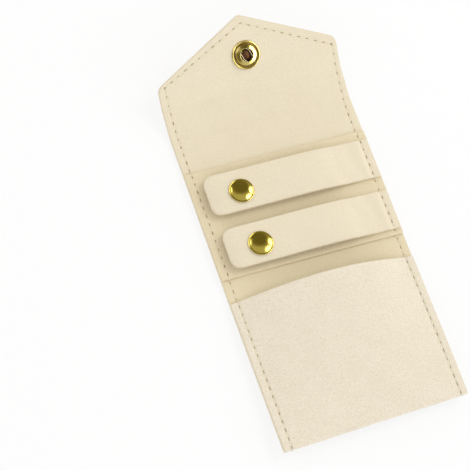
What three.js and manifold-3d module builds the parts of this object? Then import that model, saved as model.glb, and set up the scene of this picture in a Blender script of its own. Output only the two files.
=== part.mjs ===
// Earring book: a trifold jewellery case of cream suede cloth, lying open.
// A back panel carries a holder with two snap straps. A pointed flap folds down from its top edge
// and a pocketed front panel folds up from its bottom edge, and a brass snap closes one on the other.
// Millimetres. Origin at the centre of the back panel's outer face, +Z up out of the inside,
// +Y towards the flap's point and +X to the side seam that holds the straps.

import * as THREE from 'three';
import { mergeVertices } from 'three/addons/utils/BufferGeometryUtils.js';
import Module from 'manifold-3d';

const wasm = await Module();
wasm.setup();

// Panels
const WIDTH = 72;
const BACK_LENGTH = 59.6;
const FLAP_FOLD = 11.4;
const FLAP_DROP_LEFT = 7.8;
const FLAP_DROP_RIGHT = 12;
const FLAP_REACH = 28.3;
const FLAP_SHOULDER_RADIUS = 4;
const FLAP_POINT_RADIUS = 2.5;
const FRONT_FOLD = 8.4;
const FRONT_SETBACK_LEFT = 0.6;
const FRONT_SETBACK_RIGHT = 2.8;
const SEAM_INSET = 2.8;

// Cloth layers
const OUTER_THICK = 0.55;
const LINING_THICK = 0.55;
const HOLDER_THICK = 0.6;
const POCKET_THICK = 0.6;
const STRAP_FACE_THICK = 0.45;
const STRAP_UNDER_THICK = 0.45;
const LAYER_GAP = 0.1;
const CREASE_GAP = 0.3;

// Holder and straps
const HOLDER_MARGIN = 3.9;
const STRAP_SEAM = 4.4;
const STRAP_TIP_INSET = 5.1;
const STRAP_CORNER_RADIUS = 4.5;
const STRAP_RAMP = 16;
const SNAP_INSET = 12.7;
const RING_STRAP_FOOT = 2.85;
const RING_STRAP_WIDTH = 15.8;
const STRAP_SPACING = 5.75;
const EARRING_STRAP_WIDTH = 16;
const SNAP_SAG = 1;

// Pocket
const POCKET_BULGE = 3.3;
const POCKET_CROWN_X = 6;
const POCKET_MOUTH = 0.35;

// Snap fasteners
const CAP_RADIUS = 4.9;
const CAP_HEIGHT = 1.1;
const CAP_EDGE = 0.3;
const POST_RADIUS = 1.2;
const FLARE_RADIUS = 1.9;
const FLARE_THICK = 0.15;
const SOCKET_RADIUS = 5.1;
const SOCKET_HEIGHT = 1.7;
const SOCKET_PLATE = 0.3;
const SOCKET_BORE_RADIUS = 2.5;
const SOCKET_COLLAR = 0.7;
const WIRE_RADIUS = 0.18;
const WIRE_SPREAD = 1.5;
const STUD_FLANGE_RADIUS = 3.7;
const STUD_FLANGE = 0.25;
const STUD_NECK_RADIUS = 1.1;
const STUD_HEAD_RADIUS = 1.4;
const RIVET_RADIUS = 0.65;
const RIVET_HEAD_RADIUS = 3.4;
const RIVET_HEAD = 0.3;
const SNAP_GAP = 0.2;
const HOLE_CLEARANCE = 0.2;
const METAL_GAP = 0.07;
const TABLE_CLEARANCE = 0.05;
const CLOSURE_REACH = 12.9;
const CLOSURE_WIRE_TURN = THREE.MathUtils.degToRad(45);

// Lie of the open book: each flap crease bends by FLAP_LIFT here and by FLAP_CLOSED when shut.
const FLAP_LIFT = THREE.MathUtils.degToRad(15.4);
const FLAP_CLOSED = THREE.MathUtils.degToRad(88.66);

// Facets
const TURNED_SEGMENTS = 28;
const HOLE_SEGMENTS = 20;
const CORNER_SEGMENTS = 6;
const POCKET_COLUMNS = 18;
const POCKET_ROWS = 14;
const HEM_ROWS = 6;

// Worked out from the sizes above
const HALF_WIDTH = WIDTH / 2;
const HALF_BACK = BACK_LENGTH / 2;
const HALF_CREASE = CREASE_GAP / 2;
const SHEET = OUTER_THICK + LAYER_GAP + LINING_THICK;
const STRAP_THICK = STRAP_UNDER_THICK + LAYER_GAP + STRAP_FACE_THICK;
const HOLDER_UNDER = SHEET + LAYER_GAP;
const HOLDER_FACE = HOLDER_UNDER + HOLDER_THICK;
const RING_STRAP_Y = RING_STRAP_FOOT + RING_STRAP_WIDTH / 2 - HALF_BACK;
const EARRING_STRAP_Y = RING_STRAP_Y + (RING_STRAP_WIDTH + EARRING_STRAP_WIDTH) / 2 + STRAP_SPACING;
const HOLDER_TOP = EARRING_STRAP_Y + EARRING_STRAP_WIDTH / 2 + HOLDER_MARGIN;
// The closed front panel stops this far short of the flap fold at its two corners.
const FRONT_LENGTH_LEFT = BACK_LENGTH - FRONT_SETBACK_LEFT;
const FRONT_LENGTH_RIGHT = BACK_LENGTH - FRONT_SETBACK_RIGHT;
const STRAP_HINGE_X = HALF_WIDTH - STRAP_SEAM;
const STRAP_TIP_X = STRAP_TIP_INSET - HALF_WIDTH;
const STRAP_SEAT = HOLDER_FACE + LAYER_GAP;
const SNAP_STACK = LAYER_GAP + STUD_FLANGE + SNAP_GAP + SOCKET_HEIGHT + LAYER_GAP;
const STRAP_LIFT = HOLDER_FACE + SNAP_STACK;
const HEM_RADIUS = (POCKET_THICK + LAYER_GAP + SHEET) / 2;
const FLARE_LEVEL = SOCKET_PLATE + METAL_GAP + FLARE_THICK;
const WIRE_LEVEL = SOCKET_HEIGHT - SOCKET_PLATE - METAL_GAP - WIRE_RADIUS;
const STUD_HEIGHT = STUD_FLANGE + SNAP_GAP + SOCKET_HEIGHT - FLARE_LEVEL - METAL_GAP;
const STUD_NECK_TOP = STUD_FLANGE + SNAP_GAP + SOCKET_HEIGHT - WIRE_LEVEL + WIRE_RADIUS;
const CLOSED_LEAN = Math.PI - 2 * FLAP_CLOSED;
const STUD_REACH = BACK_LENGTH + FLAP_FOLD * Math.cos(FLAP_CLOSED) - CLOSURE_REACH * Math.cos(CLOSED_LEAN)
  - (LAYER_GAP + SOCKET_HEIGHT / 2) * Math.sin(CLOSED_LEAN);
// The stud stands proud of the front panel, so the open panel rests tilted on it.
const FRONT_LIFT = (LAYER_GAP + STUD_HEIGHT + TABLE_CLEARANCE) / (FRONT_FOLD + 2 * STUD_REACH);

const cloth = (color) => new THREE.MeshStandardMaterial({ color, roughness: 0.92, metalness: 0 });
const OUTER_CLOTH = cloth(0xe9dec4);
const LINING_CLOTH = cloth(0xede3cb);
const STRAP_CLOTH = cloth(0xefe6d0);
const BRASS = new THREE.MeshStandardMaterial({ color: 0xc79a3e, roughness: 0.22, metalness: 1 });
const SPRING_STEEL = new THREE.MeshStandardMaterial({ color: 0xb89a6a, roughness: 0.3, metalness: 1 });

// Solids

/** The enclosed volume of an indexed triangle mesh, negative when its faces point inwards. */
function signedVolume(position, index) {
  const [a, b, c] = [new THREE.Vector3(), new THREE.Vector3(), new THREE.Vector3()];
  let volume = 0;
  for (let i = 0; i < index.length; i += 3) {
    a.fromBufferAttribute(position, index[i]);
    b.fromBufferAttribute(position, index[i + 1]);
    c.fromBufferAttribute(position, index[i + 2]);
    volume += a.dot(b.cross(c)) / 6;
  }
  return volume;
}

/** One welded, outward-facing body from a geometry, with the slivers at poles and seams dropped. */
function welded(geometry) {
  const bare = new THREE.BufferGeometry();
  bare.setAttribute('position', geometry.getAttribute('position').clone());
  if (geometry.index) bare.setIndex(geometry.index.clone());
  const merged = mergeVertices(bare, 1e-4);
  const source = merged.index.array;
  const index = [];
  for (let i = 0; i < source.length; i += 3) {
    const [a, b, c] = [source[i], source[i + 1], source[i + 2]];
    if (a !== b && b !== c && c !== a) index.push(a, b, c);
  }
  if (signedVolume(merged.getAttribute('position'), index) < 0) index.reverse();
  merged.setIndex(index);
  return merged;
}

function toSolid(geometry) {
  const body = welded(geometry);
  return new wasm.Manifold(new wasm.Mesh({
    numProp: 3,
    vertProperties: Float32Array.from(body.getAttribute('position').array),
    triVerts: Uint32Array.from(body.index.array),
  }));
}

function fromSolid(solid) {
  const mesh = solid.getMesh();
  const geometry = new THREE.BufferGeometry();
  geometry.setAttribute('position', new THREE.BufferAttribute(Float32Array.from(mesh.vertProperties), 3));
  geometry.setIndex(Array.from(mesh.triVerts));
  return geometry;
}

function piece(name, geometry, material) {
  const faceted = welded(geometry).toNonIndexed();
  faceted.computeVertexNormals();
  const mesh = new THREE.Mesh(faceted, material);
  mesh.name = name;
  return mesh;
}

// Outlines and flat cloth

/** A closed outline through corners [x, y, radius], each corner eased to its radius. */
function outline(corners) {
  const shape = new THREE.Shape();
  corners.forEach(([x, y, radius], i) => {
    const corner = new THREE.Vector2(x, y);
    const [beforeX, beforeY] = corners.at(i - 1);
    const [afterX, afterY] = corners[(i + 1) % corners.length];
    const back = new THREE.Vector2(beforeX, beforeY).sub(corner).normalize();
    const on = new THREE.Vector2(afterX, afterY).sub(corner).normalize();
    const run = radius > 0 ? radius / Math.tan(back.angleTo(on) / 2) : 0;
    const start = corner.clone().addScaledVector(back, run);
    if (i === 0) shape.moveTo(start.x, start.y);
    else shape.lineTo(start.x, start.y);
    if (radius > 0) {
      const end = corner.clone().addScaledVector(on, run);
      shape.quadraticCurveTo(x, y, end.x, end.y);
    }
  });
  shape.closePath();
  return shape;
}

function rectangle(left, right, low, high) {
  return outline([[left, low, 0], [right, low, 0], [right, high, 0], [left, high, 0]]);
}

function punch(shape, x, y, radius) {
  const hole = new THREE.Path();
  hole.absarc(x, y, radius, 0, 2 * Math.PI, true);
  shape.holes.push(hole);
  return shape;
}

/** A flat layer cut to an outline, with its underside at the given level. */
function layer(name, shape, under, thick, material) {
  const geometry = new THREE.ExtrudeGeometry(shape, {
    depth: thick,
    bevelEnabled: false,
    curveSegments: CORNER_SEGMENTS,
  });
  geometry.translate(0, 0, under);
  return piece(name, geometry, material);
}

/** The outer cloth and the lining of one panel. Level 0 is the panel's inner face. */
function panelLayers(panel, outerShape, liningShape) {
  return [
    layer(`outer_${panel}`, outerShape, -SHEET, OUTER_THICK, OUTER_CLOTH),
    layer(`lining_${panel}`, liningShape, -LINING_THICK, LINING_THICK, LINING_CLOTH),
  ];
}

// Snap fasteners

function turned(name, profile, material) {
  const points = profile.map(([radius, height]) => new THREE.Vector2(radius, height));
  const geometry = new THREE.LatheGeometry(points, TURNED_SEGMENTS);
  geometry.rotateX(Math.PI / 2);
  return piece(name, geometry, material);
}

/** Domed cap with the post that runs through the cloth and is flared inside the socket. */
function cap(name, grip) {
  const flareTop = -(LAYER_GAP + grip + LAYER_GAP + SOCKET_PLATE + METAL_GAP);
  const dome = [];
  const rise = CAP_HEIGHT - CAP_EDGE;
  for (let i = 0; i <= 6; i++) {
    const turn = (i / 6) * (Math.PI / 2);
    dome.push([CAP_RADIUS * Math.cos(turn), CAP_EDGE + rise * Math.sin(turn)]);
  }
  dome[6][0] = 0;
  return turned(name, [
    [0, flareTop - FLARE_THICK],
    [FLARE_RADIUS, flareTop - FLARE_THICK],
    [FLARE_RADIUS, flareTop],
    [POST_RADIUS, flareTop],
    [POST_RADIUS, 0],
    [CAP_RADIUS - CAP_EDGE, 0],
    ...dome,
  ], BRASS);
}

/** Socket: a dished flange that rises to a collar round the bore, hollow behind for the spring wires. */
function socket(name) {
  const seatRadius = POST_RADIUS + HOLE_CLEARANCE;
  const collar = SOCKET_BORE_RADIUS + SOCKET_COLLAR;
  const bead = SOCKET_HEIGHT / 2;
  const lip = SOCKET_HEIGHT - SOCKET_PLATE;
  const hollow = collar + (SOCKET_RADIUS - collar) * 0.2;
  const flangeFoot = SOCKET_RADIUS - (SOCKET_RADIUS - collar) * 0.45;
  const profile = [
    [seatRadius, 0],
    [SOCKET_RADIUS - SOCKET_PLATE, 0],
    [SOCKET_RADIUS, SOCKET_PLATE],
    [SOCKET_RADIUS, bead - SOCKET_PLATE],
    [SOCKET_RADIUS - SOCKET_PLATE, bead],
    [flangeFoot + SOCKET_PLATE, bead - SOCKET_PLATE / 2],
    [flangeFoot, bead],
    [collar + SOCKET_PLATE / 2, lip],
    [collar - SOCKET_PLATE / 2, SOCKET_HEIGHT],
    [SOCKET_BORE_RADIUS + SOCKET_PLATE / 2, SOCKET_HEIGHT],
    [SOCKET_BORE_RADIUS, SOCKET_HEIGHT - SOCKET_PLATE / 2],
    [SOCKET_BORE_RADIUS, lip],
    [collar - SOCKET_PLATE / 2, lip],
    [hollow, bead],
    [hollow, SOCKET_PLATE],
    [seatRadius, SOCKET_PLATE],
    [seatRadius, 0],
  ];
  return turned(name, profile, BRASS);
}

/** One leg of the S-shaped spring, straight past the bore and hooked in at its far end. */
function springWire(name, turn) {
  const reach = SOCKET_BORE_RADIUS + SOCKET_COLLAR - SOCKET_PLATE / 2 - WIRE_RADIUS - METAL_GAP;
  const straight = Math.sqrt(reach ** 2 - WIRE_SPREAD ** 2) * 0.9;
  const hook = Math.asin((WIRE_SPREAD * 0.4) / reach);
  const path = new THREE.CatmullRomCurve3([
    new THREE.Vector3(WIRE_SPREAD, -straight, WIRE_LEVEL),
    new THREE.Vector3(WIRE_SPREAD, 0, WIRE_LEVEL),
    new THREE.Vector3(WIRE_SPREAD * 0.97, straight * 0.6, WIRE_LEVEL),
    new THREE.Vector3(reach * Math.sin(hook), reach * Math.cos(hook) * 0.97, WIRE_LEVEL),
  ]);
  const section = new THREE.Shape();
  section.absarc(0, 0, WIRE_RADIUS, 0, 2 * Math.PI);
  const geometry = new THREE.ExtrudeGeometry(section, {
    steps: 14,
    curveSegments: 4,
    bevelEnabled: false,
    extrudePath: path,
  });
  geometry.rotateZ(turn);
  return piece(name, geometry, SPRING_STEEL);
}

/** Stud: a flange with a necked head, bored from below for its rivet. */
function stud(name) {
  const bore = RIVET_RADIUS + HOLE_CLEARANCE;
  const boreTop = STUD_HEIGHT - WIRE_RADIUS * 2;
  return turned(name, [
    [0, boreTop],
    [bore * 0.9, boreTop],
    [bore * 0.9, 0],
    [STUD_FLANGE_RADIUS, 0],
    [STUD_FLANGE_RADIUS, STUD_FLANGE / 2],
    [STUD_FLANGE_RADIUS - STUD_FLANGE, STUD_FLANGE],
    [STUD_NECK_RADIUS + STUD_FLANGE / 2, STUD_FLANGE],
    [STUD_NECK_RADIUS, STUD_FLANGE + METAL_GAP],
    [STUD_NECK_RADIUS, STUD_NECK_TOP],
    [STUD_HEAD_RADIUS, (STUD_NECK_TOP + STUD_HEIGHT) / 2],
    [STUD_HEAD_RADIUS * 0.8, STUD_HEIGHT],
    [0, STUD_HEIGHT],
  ], BRASS);
}

/** Rivet that holds a stud: a flat head behind the cloth and a shank up into the stud. */
function rivet(name, grip) {
  const headTop = -(LAYER_GAP + grip + LAYER_GAP);
  return turned(name, [
    [0, headTop - RIVET_HEAD],
    [RIVET_HEAD_RADIUS - RIVET_HEAD / 2, headTop - RIVET_HEAD],
    [RIVET_HEAD_RADIUS, headTop - RIVET_HEAD / 2],
    [RIVET_HEAD_RADIUS, headTop],
    [RIVET_RADIUS, headTop],
    [RIVET_RADIUS, STUD_FLANGE + SNAP_GAP],
    [0, STUD_FLANGE + SNAP_GAP],
  ], BRASS);
}

/** Cap half of a snap. Its origin is on the cloth's cap face, and the socket is on the other face. */
function snapCap(name, grip, wireTurn) {
  const half = new THREE.Group();
  const top = cap(`${name}_cap`, grip);
  top.position.z = LAYER_GAP;
  const under = new THREE.Group();
  under.position.z = -grip - LAYER_GAP;
  under.rotation.x = Math.PI;
  under.add(
    socket(`${name}_socket`),
    springWire(`${name}_spring_a`, wireTurn),
    springWire(`${name}_spring_b`, wireTurn + Math.PI),
  );
  half.add(top, under);
  return half;
}

/** Stud half of a snap. Its origin is on the cloth's stud face, and the rivet's head is on the other. */
function snapStud(name, grip) {
  const half = new THREE.Group();
  const parts = [stud(`${name}_stud`), rivet(`${name}_rivet`, grip)];
  parts.forEach((part) => {
    part.position.z = LAYER_GAP;
  });
  half.add(...parts);
  return half;
}

const CAP_HOLE = POST_RADIUS + HOLE_CLEARANCE;
const RIVET_HOLE = RIVET_RADIUS + HOLE_CLEARANCE;
const RIVET_HEAD_HOLE = RIVET_HEAD_RADIUS + HOLE_CLEARANCE;

// Straps

const SNAP_X = STRAP_TIP_X + SNAP_INSET;
const STRAPS = [
  { name: 'earring', y: EARRING_STRAP_Y, width: EARRING_STRAP_WIDTH },
  { name: 'ring', y: RING_STRAP_Y, width: RING_STRAP_WIDTH },
];

/** Side view of one strap layer: level over the snap, then down a ramp to the sewn end. */
function strapProfile(rise, thick) {
  const end = STRAP_HINGE_X - HALF_CREASE;
  const crest = end - STRAP_RAMP;
  const mid = (end + crest) / 2;
  const foot = STRAP_SEAT + rise;
  const top = STRAP_LIFT + rise;
  const shape = new THREE.Shape();
  shape.moveTo(end, foot);
  shape.lineTo(end, foot + thick);
  shape.bezierCurveTo(mid, foot + thick, mid, top + thick, crest, top + thick);
  shape.lineTo(STRAP_TIP_X, top + thick);
  shape.lineTo(STRAP_TIP_X, top);
  shape.lineTo(crest, top);
  shape.bezierCurveTo(mid, top, mid, foot, end, foot);
  return shape;
}

/** One layer of a strap: its side view swept across, trimmed to the rounded outline and punched. */
function strapLayer(name, strap, rise, thick) {
  const ribbon = new THREE.ExtrudeGeometry(strapProfile(rise, thick), {
    depth: strap.width,
    bevelEnabled: false,
    curveSegments: 10,
  });
  ribbon.rotateX(Math.PI / 2);
  ribbon.translate(0, strap.y + strap.width / 2, 0);
  const low = strap.y - strap.width / 2;
  const high = strap.y + strap.width / 2;
  const past = STRAP_HINGE_X + STRAP_SEAM;
  const trim = new THREE.ExtrudeGeometry(outline([
    [STRAP_TIP_X, low, STRAP_CORNER_RADIUS],
    [past, low, 0],
    [past, high, 0],
    [STRAP_TIP_X, high, STRAP_CORNER_RADIUS],
  ]), { depth: 2 * (STRAP_LIFT + STRAP_THICK), bevelEnabled: false, curveSegments: CORNER_SEGMENTS });
  const drill = new THREE.CylinderGeometry(CAP_HOLE, CAP_HOLE, 4 * STRAP_LIFT, HOLE_SEGMENTS);
  drill.rotateX(Math.PI / 2);
  drill.translate(SNAP_X, strap.y - SNAP_SAG, 0);
  const cut = toSolid(ribbon).intersect(toSolid(trim)).subtract(toSolid(drill));
  return piece(name, fromSolid(cut), STRAP_CLOTH);
}

/** A swinging strap with the cap half of its snap. */
function swingingStrap(strap) {
  const group = new THREE.Group();
  const snap = snapCap(strap.name, STRAP_THICK, 0);
  snap.position.set(SNAP_X, strap.y - SNAP_SAG, STRAP_LIFT + STRAP_THICK);
  group.add(
    strapLayer(`${strap.name}_strap_under`, strap, 0, STRAP_UNDER_THICK),
    strapLayer(`${strap.name}_strap_face`, strap, STRAP_UNDER_THICK + LAYER_GAP, STRAP_FACE_THICK),
    snap,
  );
  return group;
}

/** The strap's sewn end in the side seam, and the stud half of its snap on the holder. */
function strapAnchor(strap) {
  const group = new THREE.Group();
  const low = strap.y - strap.width / 2;
  const sewn = rectangle(STRAP_HINGE_X + HALF_CREASE, HALF_WIDTH, low, low + strap.width);
  const snap = snapStud(strap.name, HOLDER_THICK);
  snap.position.set(SNAP_X, strap.y - SNAP_SAG, HOLDER_FACE);
  group.add(layer(`${strap.name}_strap_end`, sewn, STRAP_SEAT, STRAP_THICK, STRAP_CLOTH), snap);
  return group;
}

// Back panel

function backPanel() {
  const group = new THREE.Group();
  const edge = HALF_BACK - HALF_CREASE;
  const lining = rectangle(-HALF_WIDTH, HALF_WIDTH, -edge, edge);
  const holder = rectangle(-HALF_WIDTH, HALF_WIDTH, -edge, HOLDER_TOP);
  STRAPS.forEach((strap) => {
    punch(lining, SNAP_X, strap.y - SNAP_SAG, RIVET_HEAD_HOLE);
    punch(holder, SNAP_X, strap.y - SNAP_SAG, RIVET_HOLE);
  });
  const sheets = new THREE.Group();
  sheets.position.z = SHEET;
  sheets.add(...panelLayers('back', rectangle(-HALF_WIDTH, HALF_WIDTH, -edge, edge), lining));
  group.add(sheets, layer('holder_panel', holder, HOLDER_UNDER, HOLDER_THICK, LINING_CLOTH));
  STRAPS.forEach((strap) => group.add(strapAnchor(strap), swingingStrap(strap)));
  return group;
}

// Flap

function flapOutline() {
  const shape = outline([
    [-HALF_WIDTH, HALF_CREASE, 0],
    [HALF_WIDTH, HALF_CREASE, 0],
    [HALF_WIDTH, FLAP_DROP_RIGHT, FLAP_SHOULDER_RADIUS],
    [0, FLAP_REACH, FLAP_POINT_RADIUS],
    [-HALF_WIDTH, FLAP_DROP_LEFT, FLAP_SHOULDER_RADIUS],
  ]);
  return punch(shape, 0, CLOSURE_REACH, CAP_HOLE);
}

/** The flap fold between its two creases, with the flap beyond it, lifted as the open book lies. */
function flapAssembly() {
  const fold = new THREE.Group();
  fold.position.set(0, HALF_BACK, SHEET);
  fold.rotation.x = FLAP_LIFT;
  const strip = () => rectangle(-HALF_WIDTH, HALF_WIDTH, HALF_CREASE, FLAP_FOLD - HALF_CREASE);
  fold.add(...panelLayers('flap_fold', strip(), strip()));
  const flap = new THREE.Group();
  flap.position.y = FLAP_FOLD;
  flap.rotation.x = FLAP_LIFT;
  const snap = snapCap('closure', SHEET, CLOSURE_WIRE_TURN);
  snap.position.set(0, CLOSURE_REACH, -SHEET);
  snap.rotation.x = Math.PI;
  flap.add(...panelLayers('flap', flapOutline(), flapOutline()), snap);
  fold.add(flap);
  return fold;
}

// Front panel

/** Length of the front panel from its crease, measured at a place across the width. */
function frontLength(x) {
  return THREE.MathUtils.mapLinear(x, -HALF_WIDTH, HALF_WIDTH, FRONT_LENGTH_LEFT, FRONT_LENGTH_RIGHT);
}

/** Height of the pocket's crown at a place across: none at the side seams, one at the crown. */
function pocketAcross(x) {
  const seam = HALF_WIDTH - SEAM_INSET;
  const side = x < POCKET_CROWN_X ? -seam : seam;
  const share = THREE.MathUtils.clamp((x - POCKET_CROWN_X) / (side - POCKET_CROWN_X), 0, 1);
  return Math.cos((share * Math.PI) / 2) ** 2;
}

/** Inner and outer point of the pocket cloth: down the panel, then round the bottom edge as a hem. */
function pocketPoint(column, row) {
  const x = -HALF_WIDTH + (WIDTH * column) / POCKET_COLUMNS;
  const turnAt = frontLength(x) - HEM_RADIUS;
  if (row <= POCKET_ROWS) {
    const share = row / POCKET_ROWS;
    const along = POCKET_MOUTH + (turnAt - POCKET_MOUTH) * share;
    const height = LAYER_GAP + POCKET_BULGE * pocketAcross(x) * (1 - share ** 1.5);
    return [
      new THREE.Vector3(x, -along, height),
      new THREE.Vector3(x, -along, height + POCKET_THICK),
    ];
  }
  const angle = Math.PI / 2 - (Math.PI * (row - POCKET_ROWS)) / HEM_ROWS;
  const centre = LAYER_GAP + POCKET_THICK - HEM_RADIUS;
  return [HEM_RADIUS - POCKET_THICK, HEM_RADIUS].map((radius) => new THREE.Vector3(
    x,
    -turnAt - radius * Math.cos(angle),
    centre + radius * Math.sin(angle),
  ));
}

/** A closed sheet from a grid of [inner, outer] points. */
function gridSheet(columns, rows, pointAt) {
  const positions = [];
  for (let row = 0; row <= rows; row++) {
    for (let column = 0; column <= columns; column++) {
      pointAt(column, row).forEach((point) => positions.push(point.x, point.y, point.z));
    }
  }
  const at = (column, row, side) => 2 * (row * (columns + 1) + column) + side;
  const index = [];
  const quad = (a, b, c, d) => index.push(a, b, c, a, c, d);
  for (let row = 0; row < rows; row++) {
    for (let column = 0; column < columns; column++) {
      const [right, next] = [column + 1, row + 1];
      quad(at(column, row, 0), at(right, row, 0), at(right, next, 0), at(column, next, 0));
      quad(at(column, row, 1), at(column, next, 1), at(right, next, 1), at(right, row, 1));
    }
    quad(at(0, row, 0), at(0, row + 1, 0), at(0, row + 1, 1), at(0, row, 1));
    quad(at(columns, row, 0), at(columns, row, 1), at(columns, row + 1, 1), at(columns, row + 1, 0));
  }
  for (let column = 0; column < columns; column++) {
    quad(at(column, 0, 0), at(column, 0, 1), at(column + 1, 0, 1), at(column + 1, 0, 0));
    quad(at(column, rows, 0), at(column + 1, rows, 0), at(column + 1, rows, 1), at(column, rows, 1));
  }
  const geometry = new THREE.BufferGeometry();
  geometry.setAttribute('position', new THREE.Float32BufferAttribute(positions, 3));
  geometry.setIndex(index);
  return geometry;
}

function frontOutline() {
  const inset = HEM_RADIUS + LAYER_GAP;
  const shape = outline([
    [-HALF_WIDTH, inset - FRONT_LENGTH_LEFT, 0],
    [HALF_WIDTH, inset - FRONT_LENGTH_RIGHT, 0],
    [HALF_WIDTH, -HALF_CREASE, 0],
    [-HALF_WIDTH, -HALF_CREASE, 0],
  ]);
  return punch(shape, 0, -STUD_REACH, RIVET_HOLE);
}

/** The front fold between its two creases, with the pocketed front panel beyond it. */
function frontAssembly() {
  const fold = new THREE.Group();
  fold.position.set(0, -HALF_BACK, SHEET);
  fold.rotation.x = -FRONT_LIFT;
  const strip = () => rectangle(-HALF_WIDTH, HALF_WIDTH, HALF_CREASE - FRONT_FOLD, -HALF_CREASE);
  fold.add(...panelLayers('front_fold', strip(), strip()));
  const front = new THREE.Group();
  front.position.y = -FRONT_FOLD;
  front.rotation.x = -FRONT_LIFT;
  const snap = snapStud('closure', SHEET);
  snap.position.set(0, -STUD_REACH, -SHEET);
  snap.rotation.x = Math.PI;
  const pocket = gridSheet(POCKET_COLUMNS, POCKET_ROWS + HEM_ROWS, pocketPoint);
  front.add(
    ...panelLayers('front', frontOutline(), frontOutline()),
    piece('pocket_panel', pocket, OUTER_CLOTH),
    snap,
  );
  fold.add(front);
  return fold;
}

const earringBook = new THREE.Group();
earringBook.name = 'earring_book';
earringBook.add(backPanel(), flapAssembly(), frontAssembly());

export default earringBook;
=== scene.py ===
"""Looks of the earring book: suede panels, straps, pocket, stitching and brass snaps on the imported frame."""

import logging
import math
from dataclasses import dataclass, field
from enum import Enum
from typing import Any, Protocol, Sequence

import bpy
import numpy as np
from mathutils import Matrix, Vector
from mathutils.geometry import delaunay_2d_cdt


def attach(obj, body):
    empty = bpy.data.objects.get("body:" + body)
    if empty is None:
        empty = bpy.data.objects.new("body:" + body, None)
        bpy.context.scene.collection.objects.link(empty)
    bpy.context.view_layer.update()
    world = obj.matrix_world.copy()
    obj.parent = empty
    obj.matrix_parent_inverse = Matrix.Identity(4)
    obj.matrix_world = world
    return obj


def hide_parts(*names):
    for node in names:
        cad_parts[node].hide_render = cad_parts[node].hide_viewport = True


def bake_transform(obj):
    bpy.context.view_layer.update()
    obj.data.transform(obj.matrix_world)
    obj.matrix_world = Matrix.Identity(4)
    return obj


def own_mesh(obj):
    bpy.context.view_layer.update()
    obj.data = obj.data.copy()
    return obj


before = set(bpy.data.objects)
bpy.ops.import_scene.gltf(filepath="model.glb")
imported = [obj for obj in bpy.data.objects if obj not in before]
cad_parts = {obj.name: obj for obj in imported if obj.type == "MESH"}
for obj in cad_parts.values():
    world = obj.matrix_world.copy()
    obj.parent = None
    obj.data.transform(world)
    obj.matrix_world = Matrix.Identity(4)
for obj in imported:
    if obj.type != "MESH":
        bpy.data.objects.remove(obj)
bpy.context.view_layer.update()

LOG = logging.getLogger("earring_book")
MM = 0.001
TOUCHING = 1e-6  # millimetres within which two places are the same
UV_SPAN = 100.0  # millimetres of cloth to one unit of its UV map
CLOTH_MAP = "cloth"
SNAP_GAP = 0.1  # millimetres between a snap part and the cloth that it is pressed on
ACROSS, UP = np.array((1.0, 0.0, 0.0)), np.array((0.0, 0.0, 1.0))

Array = np.ndarray
Span = tuple[float, float]
Place = tuple[float, float, float]
Corner = tuple[float, float, float]  # across and along the cut, and the radius that eases it
Grain = tuple[float, float, float]  # a noise's scale, detail and roughness
Colour = tuple[float, float, float, float]
Wave = tuple[float, float, float, float]  # size, turns along and across in radians a millimetre, and start
Profile = list[tuple[float, float]]
Material = bpy.types.Material
Mesh = bpy.types.Mesh
Piece = bpy.types.Object
Socket = bpy.types.NodeSocket

WHITE: Colour = (1.0, 1.0, 1.0, 1.0)


class Layer(Enum):
    """Which of a panel's two glued cloths a sheet is."""

    OUTER = "outer"
    LINING = "lining"


class Face(Enum):
    """Which side of the open book a cloth or a row of stitches shows on."""

    INSIDE = 1
    OUTSIDE = -1


class Half(Enum):
    """The two sides of the book, across its width."""

    LEFT = -1
    RIGHT = 1


class Part(Enum):
    """The parts of a snap that show, as the frame names them after the snap's own name."""

    CAP = "cap"
    SOCKET = "socket"
    STUD = "stud"
    SPRING_A = "spring_a"
    SPRING_B = "spring_b"


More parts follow.
